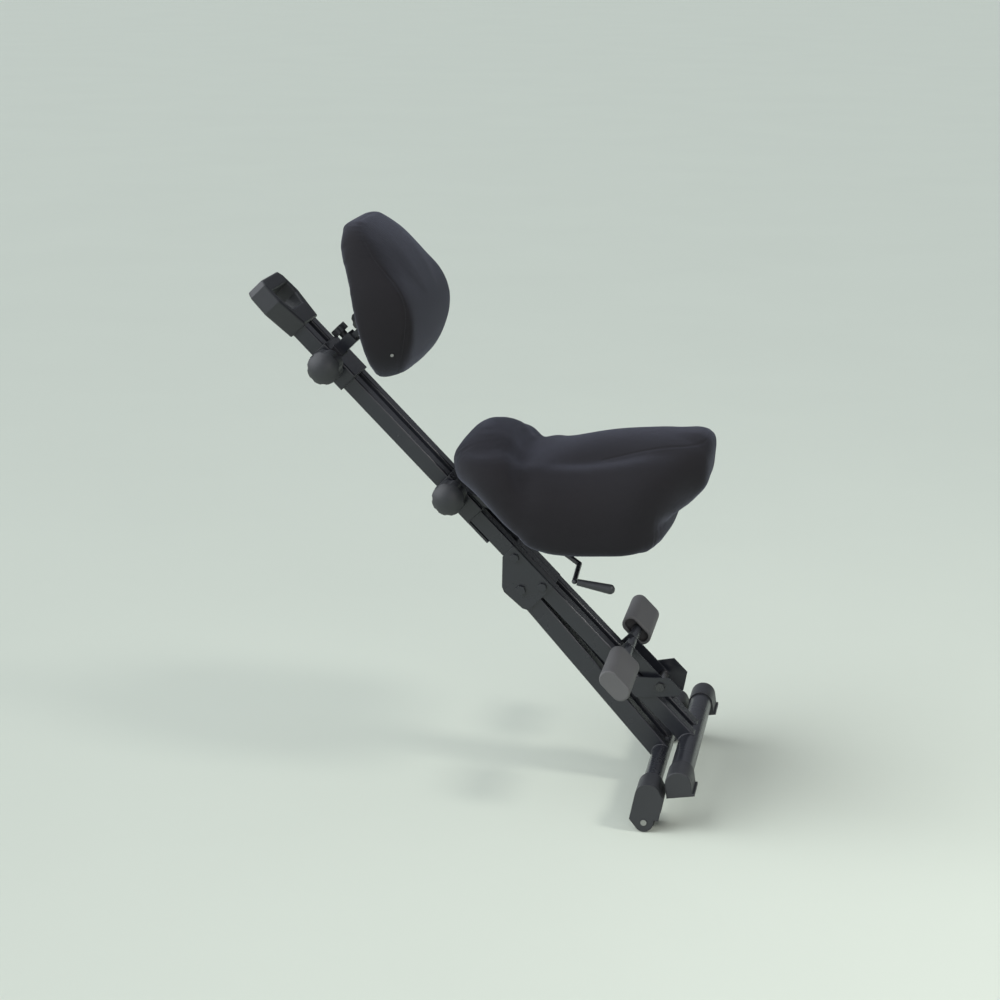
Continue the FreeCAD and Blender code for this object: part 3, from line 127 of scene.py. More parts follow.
class StoolSizes(bpy.types.PropertyGroup):
    """Sizes of the upholstery and of the small parts."""
    voxel: bpy.props.FloatProperty(
        name="Cloth grid", description="Spacing of the cushions' mesh", default=0.005, unit="LENGTH")
    swell: bpy.props.FloatProperty(
        name="Swell", description="How far a cushion is slimmed before it is blown up", default=0.0025,
        unit="LENGTH")
    swell_limit: bpy.props.FloatProperty(
        name="Swell limit", description="Farthest that the cloth may stand out", default=0.0035, unit="LENGTH")
    rim_limit: bpy.props.FloatProperty(
        name="Rim limit", description="Farthest that a rounded rim lies inside its solid", default=0.0045,
        unit="LENGTH")
    draw_limit: bpy.props.FloatProperty(
        name="Draw limit", description="Farthest that the cloth may be drawn in", default=0.0015, unit="LENGTH")
    seam_width: bpy.props.FloatProperty(
        name="Seam width", description="Half width of a pulled-in seam", default=0.0024, unit="LENGTH")
    seam_depth: bpy.props.FloatProperty(
        name="Seam depth", description="Depth of a pulled-in seam", default=0.0010, unit="LENGTH")
    stitch_pitch: bpy.props.FloatProperty(
        name="Stitch pitch", description="Distance from one stitch to the next", default=0.0050, unit="LENGTH")
    knit_pitch: bpy.props.FloatProperty(
        name="Knit pitch", description="Distance between the cover's threads", default=0.0016, unit="LENGTH")
    bead_radius: bpy.props.FloatProperty(
        name="Weld bead", description="Radius of a weld bead", default=0.0019, unit="LENGTH")
    liner_lip: bpy.props.FloatProperty(
        name="Liner lip", description="Thickness of the plastic lip on a sleeve's end", default=0.0015,
        unit="LENGTH")


class StoolStage(bpy.types.PropertyGroup):
    """Camera and light."""
    camera_place: bpy.props.FloatVectorProperty(
        name="Camera place", description="Where the camera stands", subtype="TRANSLATION",
        default=(0.356, -3.605, 1.332))
    camera_heading: bpy.props.FloatProperty(
        name="Camera heading", description="Turn of the camera to the left of +Y", default=math.radians(9.6),
        unit="ROTATION")
    camera_pitch: bpy.props.FloatProperty(
        name="Camera pitch", description="How far the camera looks down", default=math.radians(13.7),
        unit="ROTATION")
    focal_length: bpy.props.FloatProperty(
        name="Focal length", description="Lens on a 36 mm sensor", default=87.8, unit="CAMERA")
    key_strength: bpy.props.FloatProperty(
        name="Key light", description="Strength of the broad light from the back of the stool", default=2.9)
    edge_power: bpy.props.FloatProperty(
        name="Edge light", description="Power of the small light that draws the edges", default=20.0)
    fill_power: bpy.props.FloatProperty(
        name="Fill light", description="Power of the soft light beside the camera", default=22.0)
    world_strength: bpy.props.FloatProperty(
        name="Surrounding light", description="Strength of the even light from all round", default=0.50)


def colours():
    """The colours that the settings hold."""
    return bpy.context.scene.stool_colours


def sizes():
    """The sizes that the settings hold."""
    return bpy.context.scene.stool_sizes


# Finishes

FLOAT = "NodeSocketFloat"
VECTOR = "NodeSocketVector"
COLOUR = "NodeSocketColor"


def new_group(name, inputs, outputs):
    """A shader group with its sockets and its two end nodes."""
    group = bpy.data.node_groups.new(name, "ShaderNodeTree")
    for way, sockets in (("INPUT", inputs), ("OUTPUT", outputs)):
        for socket, kind in sockets.items():
            group.interface.new_socket(socket, in_out=way, socket_type=kind)
    return group, group.nodes.new("NodeGroupInput"), group.nodes.new("NodeGroupOutput")


def feed(tree, socket, value):
    """Link a socket to another one, or set it to a value."""
    if isinstance(value, bpy.types.NodeSocket):
        tree.links.new(value, socket)
    else:
        socket.default_value = value


def add_math(tree, operation, *values):
    """A maths node whose inputs are sockets or numbers."""
    node = tree.nodes.new("ShaderNodeMath")
    node.operation = operation
    for socket, value in zip(node.inputs, values):
        feed(tree, socket, value)
    return node.outputs[0]


def scaled(tree, value, factor, offset):
    """A value times a factor, plus an offset."""
    return add_math(tree, "ADD", add_math(tree, "MULTIPLY", value, factor), offset)


def add_mix(tree, factor, first, second):
    """A mix of two colours, each a socket or a colour with alpha."""
    node = tree.nodes.new("ShaderNodeMix")
    node.data_type = "RGBA"
    for index, value in ((0, factor), (6, first), (7, second)):
        feed(tree, node.inputs[index], value)
    return node.outputs[2]


def scale_colour(tree, colour, factor):
    """A colour socket made lighter or darker by a factor socket."""
    node = tree.nodes.new("ShaderNodeVectorMath")
    node.operation = "SCALE"
    tree.links.new(colour, node.inputs[0])
    tree.links.new(factor, node.inputs["Scale"])
    return node.outputs[0]


def add_noise(tree, vector, scale, detail=3.0, roughness=0.6):
    """A noise texture on a vector socket."""
    node = tree.nodes.new("ShaderNodeTexNoise")
    for key, value in (("Vector", vector), ("Scale", scale), ("Detail", detail), ("Roughness", roughness)):
        feed(tree, node.inputs[key], value)
    return node.outputs["Fac"]


def grain_group():
    """Moulding or coating grain: fine bumps, with slow change in gloss and tone."""
    inputs = {"Vector": VECTOR, "Grain Scale": FLOAT, "Base Roughness": FLOAT, "Roughness Spread": FLOAT,
              "Tone Spread": FLOAT, "Color": COLOUR}
    outputs = {"Color": COLOUR, "Roughness": FLOAT, "Height": FLOAT}
    group, start, end = new_group("surface_grain", inputs, outputs)
    vector = start.outputs["Vector"]
    fine = add_noise(group, vector, start.outputs["Grain Scale"], detail=2.0, roughness=0.5)
    slow = add_noise(group, vector, scale=9.0, detail=4.0)
    centred = add_math(group, "SUBTRACT", slow, 0.5)
    gloss = scaled(group, centred, start.outputs["Roughness Spread"], start.outputs["Base Roughness"])
    tone = scaled(group, centred, start.outputs["Tone Spread"], 1.0)
    group.links.new(scale_colour(group, start.outputs["Color"], tone), end.inputs["Color"])
    group.links.new(gloss, end.inputs["Roughness"])
    group.links.new(fine, end.inputs["Height"])


DUST = (0.42, 0.41, 0.38, 1.0)


def dust_group():
    """A little pale dust that lies on faces that look up, and in patches."""
    inputs = {"Vector": VECTOR, "Normal": VECTOR, "Color": COLOUR, "Amount": FLOAT}
    group, start, end = new_group("settled_dust", inputs, {"Color": COLOUR})
    split = group.nodes.new("ShaderNodeSeparateXYZ")
    group.links.new(start.outputs["Normal"], split.inputs[0])
    upward = add_math(group, "MAXIMUM", split.outputs["Z"], 0.0)
    patches = add_noise(group, start.outputs["Vector"], scale=22.0, detail=5.0, roughness=0.65)
    mask = add_math(group, "MULTIPLY", upward, patches)
    factor = add_math(group, "MULTIPLY", mask, start.outputs["Amount"])
    mixed = add_mix(group, factor, start.outputs["Color"], DUST)
    group.links.new(mixed, end.inputs["Color"])


def knit_group():
    """A close knit seen square on from any side: crossing threads on the plane that each face looks along."""
    inputs = {"Vector": VECTOR, "Normal": VECTOR, "Pitch": FLOAT}
    group, start, end = new_group("close_knit", inputs, {"Height": FLOAT})
    place = group.nodes.new("ShaderNodeSeparateXYZ")
    group.links.new(start.outputs["Vector"], place.inputs[0])
    facing = group.nodes.new("ShaderNodeSeparateXYZ")
    group.links.new(start.outputs["Normal"], facing.inputs[0])
    rate = add_math(group, "DIVIDE", 2.0 * math.pi, start.outputs["Pitch"])
    waves = [add_math(group, "SINE", add_math(group, "MULTIPLY", axis, rate)) for axis in place.outputs]
    total = None
    for index in range(3):
        crossing = add_math(group, "MULTIPLY", waves[(index + 1) % 3], waves[(index + 2) % 3])
        strength = add_math(group, "POWER", add_math(group, "ABSOLUTE", facing.outputs[index]), 4.0)
        part = add_math(group, "MULTIPLY", crossing, strength)
        total = part if total is None else add_math(group, "ADD", total, part)
    group.links.new(total, end.inputs["Height"])


def new_material(name):
    """A material with a Principled shader and its own coordinates."""
    material = bpy.data.materials.new(name)
    material.use_nodes = True
    tree = material.node_tree
    shader = tree.nodes["Principled BSDF"]
    coordinates = tree.nodes.new("ShaderNodeTexCoord")
    return material, tree, shader, coordinates


def add_group(tree, name, coordinates, values):
    """One of the shader groups, with its inputs set."""
    node = tree.nodes.new("ShaderNodeGroup")
    node.node_tree = bpy.data.node_groups[name]
    tree.links.new(coordinates.outputs["Object"], node.inputs["Vector"])
    if "Normal" in node.inputs:
        tree.links.new(coordinates.outputs["Normal"], node.inputs["Normal"])
    for key, value in values.items():
        node.inputs[key].default_value = value
    return node


def add_bump(tree, shader, height, strength, distance, edge=0.0):
    """Feed a height through a Bump node to the shader's normal, over softened edges where a radius is given."""
    bump = tree.nodes.new("ShaderNodeBump")
    bump.inputs["Strength"].default_value = strength
    bump.inputs["Distance"].default_value = distance
    tree.links.new(height, bump.inputs["Height"])
    if edge > 0.0:
        bevel = tree.nodes.new("ShaderNodeBevel")
        bevel.samples = 4
        bevel.inputs["Radius"].default_value = edge
        tree.links.new(bevel.outputs["Normal"], bump.inputs["Normal"])
    tree.links.new(bump.outputs["Normal"], shader.inputs["Normal"])


# Depth of the grain, and the radius at which a shaded edge turns, in metres
GRAIN_DEPTH = 0.0004
EDGE_RADIUS = 0.0009


def grained_material(name, colour, roughness, spread, grain, bump, tone=0.25, dust=0.02, shine=0.5):
    """Plastic, rubber or coated steel: a grain, a slow change in gloss and a little dust."""
    material, tree, shader, coordinates = new_material(name)
    surface = add_group(tree, "surface_grain", coordinates, {
        "Grain Scale": grain, "Base Roughness": roughness, "Roughness Spread": spread, "Tone Spread": tone,
        "Color": (*colour, 1.0)})
    settled = add_group(tree, "settled_dust", coordinates, {"Amount": dust})
    tree.links.new(surface.outputs["Color"], settled.inputs["Color"])
    tree.links.new(settled.outputs["Color"], shader.inputs["Base Color"])
    tree.links.new(surface.outputs["Roughness"], shader.inputs["Roughness"])
    add_bump(tree, shader, surface.outputs["Height"], bump, GRAIN_DEPTH, EDGE_RADIUS)
    shader.inputs["Specular IOR Level"].default_value = shine
    return material


def cloth_material():
    """Black knitted upholstery with a soft bluish sheen, and painted shade between the knit's threads."""
    chosen = colours()
    material, tree, shader, coordinates = new_material("black_fabric_knit")
    knit = add_group(tree, "close_knit", coordinates, {"Pitch": sizes().knit_pitch}).outputs["Height"]
    fuzz = add_noise(tree, coordinates.outputs["Object"], scale=1500.0)
    height = scaled(tree, knit, 0.5, fuzz)
    lint = add_noise(tree, coordinates.outputs["Object"], scale=14.0, detail=5.0)
    warm = (chosen.cloth[0] * 1.5, chosen.cloth[1] * 1.35, chosen.cloth[2] * 1.25, 1.0)
    toned = add_mix(tree, lint, (*chosen.cloth, 1.0), warm)
    # Painted shade: the cloth's colour is darkened where the knit's height is low, between the threads
    depth = scaled(tree, knit, 0.35, 0.75)
    tree.links.new(scale_colour(tree, toned, depth), shader.inputs["Base Color"])
    tree.links.new(scaled(tree, lint, 0.12, 0.80), shader.inputs["Roughness"])
    shader.inputs["Specular IOR Level"].default_value = 0.25
    shader.inputs["Sheen Weight"].default_value = 0.22
    shader.inputs["Sheen Roughness"].default_value = 0.42
    shader.inputs["Sheen Tint"].default_value = (*chosen.cloth_sheen, 1.0)
    add_bump(tree, shader, height, strength=0.55, distance=0.0005)
    return material


def plated_material(name, colour):
    """Plated steel with fine turning marks."""
    material, tree, shader, coordinates = new_material(name)
    stretched = tree.nodes.new("ShaderNodeMapping")
    stretched.inputs["Scale"].default_value = (1.0, 14.0, 1.0)
    tree.links.new(coordinates.outputs["Object"], stretched.inputs["Vector"])
    marks = add_noise(tree, stretched.outputs["Vector"], scale=260.0)
    tarnish = add_noise(tree, coordinates.outputs["Object"], scale=120.0, detail=4.0)
    dull = [0.6 * part for part in colour]
    tree.links.new(add_mix(tree, tarnish, (*dull, 1.0), (*colour, 1.0)), shader.inputs["Base Color"])
    tree.links.new(scaled(tree, marks, 0.22, 0.18), shader.inputs["Roughness"])
    shader.inputs["Metallic"].default_value = 1.0
    add_bump(tree, shader, marks, strength=0.25, distance=0.0002)
    return material


# Bolts whose plating is dark
DARK_PLATED = ("footrest_pivot_bolt", "backrest_tilt_pin")


class STOOL_OT_mix_finishes(bpy.types.Operator):
    """Mix the stool's finishes and put each on the solids that have it"""
    bl_idname = "stool.mix_finishes"
    bl_label = "Mix finishes"

    def execute(self, context):
        chosen = colours()
        grain_group()
        dust_group()
        knit_group()
        coat = grained_material("black_steel_coat", chosen.powder_coat, roughness=0.27, spread=0.10,
                                grain=1400.0, bump=0.06, shine=0.6)
        plastic = grained_material("black_plastic_moulded", chosen.plastic, roughness=0.46, spread=0.10,
                                   grain=1900.0, bump=0.30)
        rubber = grained_material("grey_rubber_pad", chosen.pad_rubber, roughness=0.68, spread=0.14,
                                  grain=800.0, bump=0.35, tone=0.35)
        tyre = grained_material("wheel_rubber_tyre", chosen.tyre_rubber, roughness=0.70, spread=0.16,
                                grain=700.0, bump=0.35, tone=0.5, dust=0.10)
        finishes = {
            "black_steel": coat,
            "black_plastic": plastic,
            "grey_rubber": rubber,
            "wheel_rubber": tyre,
            "bright_steel": plated_material("bright_steel_plated", chosen.plated_steel),
            "black_fabric": cloth_material(),
        }
        dark_plating = plated_material("dark_steel_plated", chosen.dark_plating)
        for subpart in frame["record"]["subparts"]:
            solid = frame["nodes"][subpart["node"]]
            solid.data.materials.clear()
            dark = subpart["node"] in DARK_PLATED
            solid.data.materials.append(dark_plating if dark else finishes[subpart["material_slot"]])
        grained_material("seam_thread", chosen.thread, roughness=0.60, spread=0.10, grain=2500.0, bump=0.30,
                         tone=0.2, dust=0.0)
        return {"FINISHED"}


# Upholstery

def only(piece):
    """Make a piece the one selected and active object."""
    bpy.ops.object.select_all(action="DESELECT")
    piece.select_set(True)
    bpy.context.view_layer.objects.active = piece


def new_object(name, data):
    """A new object in the scene."""
    piece = bpy.data.objects.new(name, data)
    bpy.context.scene.collection.objects.link(piece)
    return piece


def apply_modifier(piece, name, kind, **values):
    """Add a modifier to a piece, set it and apply it."""
    only(piece)
    modifier = piece.modifiers.new(name, kind)
    for key, value in values.items():
        setattr(modifier, key, value)
    bpy.ops.object.modifier_apply(modifier=name)


def points_of(piece, field="co"):
    """A mesh's points, or their normals, as an array."""
    flat = np.empty(len(piece.data.vertices) * 3)
    piece.data.vertices.foreach_get(field, flat)
    return flat.reshape(-1, 3)


def set_points(piece, points):
    """Write an array of points to a mesh."""
    piece.data.vertices.foreach_set("co", points.ravel())
    piece.data.update()


# Points closer than this are one, in metres
SAME_POINT = 0.00002
# How square on to its axis a small part's end faces look
END_FACE = 0.9


def edit_all(piece):
    """Open a piece in edit mode with all of it selected."""
    only(piece)
    bpy.ops.object.mode_set(mode="EDIT")
    bpy.ops.mesh.select_all(action="SELECT")


def soft_copy(node_name, name):
    """A closed and evenly meshed copy of a solid cushion."""
    piece = new_object(name, frame["nodes"][node_name].data.copy())
    edit_all(piece)
    bpy.ops.mesh.remove_doubles(threshold=SAME_POINT)
    bpy.ops.mesh.normals_make_consistent(inside=False)
    bpy.ops.object.mode_set(mode="OBJECT")
    if piece.data.has_custom_normals:
        bpy.ops.mesh.customdata_custom_splitnormals_clear()
    apply_modifier(piece, "Even mesh", "REMESH", mode="VOXEL", voxel_size=sizes().voxel)
    return piece


def mark_points(piece, name, chosen):
    """Give a piece a vertex group of the points that are chosen."""
    group = piece.vertex_groups.new(name=name)
    group.add([int(index) for index in np.flatnonzero(chosen)], 1.0, "REPLACE")


def join_two(first, second, name):
    """Join two pieces into one and name it."""
    only(first)
    second.select_set(True)
    bpy.ops.object.join()
    first.name = name
    return first


def set_down(piece, place, turn):
    """Turn a piece and move it to its place, and leave its own frame at the origin."""
    piece.rotation_euler = turn
    piece.location = place
    only(piece)
    bpy.ops.object.transform_apply(location=True, rotation=True, scale=True)


# A cover is smoothed by half steps; easing follows each with a slightly longer one outward
SMOOTH_IN = 0.5
SMOOTH_OUT = -0.52
EASING = 6
SETTLING = 3


def smooth(piece, rounds, group=""):
    """Smooth a cushion's cover, which rounds its rims."""
    apply_modifier(piece, "Smooth", "SMOOTH", factor=SMOOTH_IN, iterations=rounds, vertex_group=group)


def ease(piece, rounds, group=""):
    """Smooth a cushion's cover without letting it shrink: each inward step is followed by an outward one."""
    for step in range(rounds):
        smooth(piece, 1, group)
        apply_modifier(piece, "Out", "SMOOTH", factor=SMOOTH_OUT, iterations=1, vertex_group=group)


def form_of(piece):
    """The form that a piece has now, to measure against."""
    return BVHTree.FromObject(piece, bpy.context.evaluated_depsgraph_get())


def fill_out(piece, form):
    """Push a cover back out where smoothing has drawn it too far inside the cushion's form."""
    limit = sizes().rim_limit
    points = points_of(piece)
    for index, point in enumerate(points):
        place, normal, _face, distance = form.find_nearest(Vector(point))
        if distance > limit and (Vector(point) - place).dot(normal) < 0.0:
            points[index] = place + (Vector(point) - place) * (limit / distance)
    set_points(piece, points)


def even_out(piece, values, rounds):
    """Average a value over each point's neighbours, a few times."""
    edges = np.empty(len(piece.data.edges) * 2, dtype=np.int64)
    piece.data.edges.foreach_get("vertices", edges)
    first, second = edges.reshape(-1, 2).T
    count = np.bincount(edges, minlength=len(values))
    for step in range(rounds):
        total = np.bincount(first, values[second], len(values))
        total += np.bincount(second, values[first], len(values))
        values = 0.5 * values + 0.5 * total / count
    return values


# Frames that the cloth is run for, and rounds of evening out its rise
CLOTH_FRAMES = 20
EVENING = 24


def blow_up(piece, held):
    """Slim a cushion a little, then swell its cover by cloth pressure while the held points stay."""
    mark_points(piece, "held", held)
    start = points_of(piece)
    outward = points_of(piece, "normal")
    slim = start - outward * np.where(held, 0.0, sizes().swell)[:, None]
    set_points(piece, slim)
    cloth = piece.modifiers.new("Cover", "CLOTH")
    settings = cloth.settings
    settings.quality = 6
    settings.mass = 0.3
    settings.tension_stiffness = 8.0
    settings.compression_stiffness = 8.0
    settings.shear_stiffness = 4.0
    settings.bending_stiffness = 2.0
    settings.use_pressure = True
    settings.uniform_pressure_force = 4.0
    settings.vertex_group_mass = "held"
    settings.effector_weights.gravity = 0.0
    cloth.point_cache.frame_start = 1
    cloth.point_cache.frame_end = CLOTH_FRAMES
    for step in range(1, CLOTH_FRAMES + 1):
        bpy.context.scene.frame_set(step)
    grown = piece.evaluated_get(bpy.context.evaluated_depsgraph_get())
    swollen = points_of(grown)
    piece.modifiers.remove(cloth)
    rise = np.sum((swollen - start) * outward, axis=1)
    rise = np.clip(rise, -sizes().draw_limit, sizes().swell_limit)
    rise = even_out(piece, rise, EVENING)
    set_points(piece, start + outward * np.where(held, 0.0, rise)[:, None])
    bpy.context.scene.frame_set(1)
    piece.vertex_groups.clear()


# Short steps from one given point of a curve to the next
SPAN_STEPS = 40


def smooth_path(points, closed, pitch):
    """Even steps along a smooth curve through a few points."""
    points = [Vector(point) for point in points]
    count = len(points)
    dense = []
    for index in range(count if closed else count - 1):
        around = range(index - 1, index + 3)
        if closed:
            before, start, end, after = (points[step % count] for step in around)
        else:
            before, start, end, after = (points[min(max(step, 0), count - 1)] for step in around)
        for step in range(SPAN_STEPS):
            t = step / SPAN_STEPS
            dense.append(0.5 * (2.0 * start + (end - before) * t
                                + (2.0 * before - 5.0 * start + 4.0 * end - after) * t * t
                                + (3.0 * start - before - 3.0 * end + after) * t * t * t))
    dense.append(dense[0] if closed else points[-1])
    steps = [dense[0]]
    left = pitch
    for start, end in zip(dense[:-1], dense[1:]):
        run = (end - start).length
        while run > left:
            start = start + (end - start) * (left / run)
            steps.append(start)
            run = (end - start).length
            left = pitch
        left -= run
    return steps


def on_surface(piece, points, closed=False):
    """Even steps on a cushion's cover, with the cover's normals, near a smooth curve through a few points."""
    form = form_of(piece)
    steps = []
    for step in smooth_path(points, closed, sizes().stitch_pitch):
        place, normal, _face, _distance = form.find_nearest(step)
        steps.append((place, normal))
    return steps


def press_in(piece, steps, width, depth, fade=0.0):
    """Pull the cover in along a line, with a soft slope to each side; a depth below zero draws it out."""
    tree = KDTree(len(steps))
    for index, (place, _normal) in enumerate(steps):
        tree.insert(place, index)
    tree.balance()
    points = points_of(piece)
    normals = points_of(piece, "normal")
    found = [tree.find(point) for point in points]
    away = np.array([distance for _place, _index, distance in found])
    index = np.array([index for _place, index, _distance in found])
    run = (np.minimum(index, len(steps) - 1 - index) + 1.0) / (fade / sizes().stitch_pitch + 1.0)
    share = np.clip(run, 0.0, 1.0)
    depths = depth * share * share * (3.0 - 2.0 * share) * np.exp(-(away / width) ** 2)
    set_points(piece, points - normals * depths[:, None])


def repeat_along(name, model, runs, material):
    """Copy a small model along runs of steps: its z axis follows the run and its y axis the step's normal."""
    shape = points_of(model)
    faces = [tuple(face.vertices) for face in model.data.polygons]
    bpy.data.objects.remove(model)
    points = []
    polygons = []
    for steps in runs:
        for (start, normal), (end, _normal) in zip(steps[:-1], steps[1:]):
            ahead = (end - start).normalized()
            side = ahead.cross(normal).normalized()
            turn = np.array((side, side.cross(ahead), ahead)).T
            base = len(points)
            points.extend(shape @ turn.T + np.array((start + end) / 2))
            polygons.extend(tuple(base + corner for corner in face) for face in faces)
    mesh = bpy.data.meshes.new(name)
    mesh.from_pydata([tuple(point) for point in points], [], polygons)
    piece = new_object(name, mesh)
    edit_all(piece)
    bpy.ops.mesh.normals_make_consistent(inside=False)
    bpy.ops.object.mode_set(mode="OBJECT")
    bpy.ops.object.shade_smooth()
    mesh.materials.append(bpy.data.materials[material])
    return piece


def select_faces(piece, chosen):
    """Select the faces of the active piece that a test picks, in edit mode."""
    bpy.ops.object.mode_set(mode="EDIT")
    bpy.ops.mesh.select_mode(type="FACE")
    bpy.ops.mesh.select_all(action="DESELECT")
    bpy.ops.object.mode_set(mode="OBJECT")
    for face in piece.data.polygons:
        face.select = chosen(face)
    bpy.ops.object.mode_set(mode="EDIT")


# One stitch, in metres: its radius, the length of its straight part, and how its ends taper
STITCH_RADIUS = 0.00045
STITCH_LENGTH = 0.0020
STITCH_TAPER = 0.00016
STITCH_END = 0.0005


def stitch_along(name, runs):
    """Sewn stitches along seams: one small rounded stitch, repeated."""
    bpy.ops.mesh.primitive_cylinder_add(vertices=6, radius=STITCH_RADIUS, depth=STITCH_LENGTH)
    stitch = bpy.context.object
    select_faces(stitch, lambda face: abs(face.normal.z) > END_FACE)
    bpy.ops.mesh.inset(thickness=STITCH_TAPER, depth=STITCH_END)
    bpy.ops.object.mode_set(mode="OBJECT")
    return repeat_along(name, stitch, runs, "seam_thread")


def upholster(piece, held, softening):
    """Round a cushion's rims, swell its cover, keep it near its solid and refine its mesh."""
    form = form_of(piece)
    mark_points(piece, "free", ~held)
    smooth(piece, softening, "free")
    ease(piece, EASING, "free")
    piece.vertex_groups.clear()
    blow_up(piece, held)
    fill_out(piece, form)
    smooth(piece, SETTLING)
    ease(piece, EASING)
    apply_modifier(piece, "Divide", "SUBSURF", levels=1, render_levels=1)


def sew(piece, line, closed, body):
    """Pull in a seam, tie the cover to the stool and lay the seam's stitches."""
    press_in(piece, on_surface(piece, line, closed), sizes().seam_width, sizes().seam_depth)
    only(piece)
    bpy.ops.object.shade_smooth()
    piece.data.materials.clear()
    piece.data.materials.append(bpy.data.materials["black_fabric_knit"])
    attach(piece, body)
    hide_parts(f"{body}_cushion")
    stitches = stitch_along(f"{body}_stitches", [on_surface(piece, line, closed)])
    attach(stitches, body)


def mirrored(points):
    """A line on the right side, copied to the left side."""
    return [(x, -y, z) for x, y, z in points]


def across(points):
    """A line given from the middle to the right, continued to the left."""
    return mirrored(points[1:])[::-1] + list(points)


def in_seat(points):
    """Points given from the seat's hinge, in millimetres, placed in the stool."""
    return [SEAT_HINGE + Vector(point) * MILLIMETRE for point in points]


def in_back(points):
    """Points given from the backrest's hinge and lean, in millimetres, placed in the stool."""
    turn = Matrix.Rotation(BACK_LEAN, 3, "Y")
    return [BACK_HINGE + turn @ (Vector(point) * MILLIMETRE) for point in points]


# Lines on the seat's right half, in millimetres from its hinge
# The panel seam, from near the middle of the nose back along the wing
SEAT_SEAM = ((250, -16, 123), (246, -43, 122), (224, -60, 121), (196, -66, 117), (156, -74, 109),
             (100, -85, 95))
# The hollow between the cantle and the wing, from the middle of the seat down its flank
SEAT_HOLLOW = ((-28, 0, 104), (-25, -50, 102), (-21, -90, 99), (-16, -125, 92), (-9, -154, 72), (0, -168, 52),
               (12, -175, 34))
# The notch below the nose, from the middle to the flank
SEAT_NOTCH = ((226, 0, 4), (219, -58, 7), (206, -100, 9), (192, -128, 13), (176, -150, 18))
# Where the foam is fullest: the top and the back of the cantle, the nose, the body below it and the lower rim
SEAT_CANTLE = ((-48, 0, 108), (-46, -60, 106), (-42, -100, 102))
SEAT_CANTLE_BACK = ((-114, 0, 88), (-110, -50, 86), (-100, -95, 80))
SEAT_CREST = ((250, 0, 129), (246, -22, 127), (230, -50, 119))
SEAT_CHIN = ((200, 0, -22), (196, -50, -20), (187, -93, -16), (172, -124, -14), (158, -143, -14))
SEAT_RIM = ((-28, -146, -20), (20, -150, -28), (70, -152, -30), (118, -150, -32), (160, -138, -28),
            (186, -112, -20))
# Each line's half width, depth and run-out at its ends, in metres; a depth below zero draws the cover out
SEAT_FORMING = (
    (SEAT_CANTLE, 0.034, -0.005, 0.050),
    (SEAT_CANTLE_BACK, 0.030, -0.009, 0.040),
    (SEAT_CHIN, 0.030, -0.009, 0.040),
    (SEAT_HOLLOW, 0.018, 0.011, 0.060),
    (SEAT_CREST, 0.032, -0.005, 0.030),
    (SEAT_NOTCH, 0.014, 0.010, 0.050),
)
RIM_FORMING = (0.030, -0.007, 0.030)
# Rounds of smoothing on each cover, and after it is formed
SEAT_SOFTENING = 26
BACK_SOFTENING = 16
RESTING = 6
# How far round the seat's pan, and from the back's flat rear, the covers are held, in metres
PAN_MARGIN = 0.007
BACK_MARGIN = 0.003


class STOOL_OT_upholster_seat(bpy.types.Operator):
    """Make the saddle seat's cushion with its panel seam and stitches"""
    bl_idname = "stool.upholster_seat"
    bl_label = "Upholster seat"

    def execute(self, context):
        piece = soft_copy("seat_cushion", "seat_cover")
        _pan_low, pan_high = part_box("seat_pan")
        points = points_of(piece)
        held = ((points[:, 2] < pan_high[2] + PAN_MARGIN) & (np.abs(points[:, 1]) < pan_high[1] + PAN_MARGIN)
                & (points[:, 0] < pan_high[0] + PAN_MARGIN))
        upholster(piece, held, SEAT_SOFTENING)
        for half, width, depth, fade in SEAT_FORMING:
            press_in(piece, on_surface(piece, in_seat(across(half))), width, depth, fade)
        for rim in (SEAT_RIM, mirrored(SEAT_RIM)):
            press_in(piece, on_surface(piece, in_seat(rim)), *RIM_FORMING)
        smooth(piece, RESTING)
        line = mirrored(SEAT_SEAM)[::-1] + list(SEAT_SEAM)
        sew(piece, in_seat(line), False, "seat")
        return {"FINISHED"}


# Lines on the backrest's right half, in millimetres from its hinge and along its lean
# The seam between the front panel and its border, from the bottom to the top
BACK_SEAM = ((60, 0, -82), (62, -62, -82), (66, -103, -75), (76, -128, -58), (99, -154, -18), (111, -152, 28),
             (100, -140, 62), (77, -128, 98), (57, -96, 134), (48, -56, 151), (46, 0, 153))
# Where the foam is fullest: the crown, and the top of the rear rim
BACK_CROWN = ((92, 0, 96), (94, -46, 92), (100, -80, 80), (108, -104, 60))
BACK_TOP = ((20, 0, 152), (20, -56, 148), (20, -98, 132), (21, -124, 104), (22, -140, 66))
# Each line's half width, depth and run-out, as for the seat
BACK_FORMING = ((BACK_CROWN, 0.050, -0.006, 0.080), (BACK_TOP, 0.038, -0.008, 0.080))


class STOOL_OT_upholster_backrest(bpy.types.Operator):
    """Make the backrest's cushion with its border seam and stitches"""
    bl_idname = "stool.upholster_backrest"
    bl_label = "Upholster backrest"

    def execute(self, context):
        piece = soft_copy("backrest_cushion", "backrest_cover")
        points = points_of(piece)
        ahead = Matrix.Rotation(BACK_LEAN, 3, "Y") @ Vector((1.0, 0.0, 0.0))
        forward = (points - np.array(BACK_HINGE)) @ np.array(ahead)
        shell_low, shell_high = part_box("backrest_shell")
        held = ((forward < forward.min() + BACK_MARGIN) & (np.abs(points[:, 1]) < shell_high[1])
                & (points[:, 2] > shell_low[2]) & (points[:, 2] < shell_high[2]))
        upholster(piece, held, BACK_SOFTENING)
        for half, width, depth, fade in BACK_FORMING:
            press_in(piece, on_surface(piece, in_back(across(half))), width, depth, fade)
        smooth(piece, RESTING)
        loop = list(BACK_SEAM) + mirrored(BACK_SEAM[1:-1])[::-1]
        sew(piece, in_back(loop), True, "backrest")
        return {"FINISHED"}


# Small parts

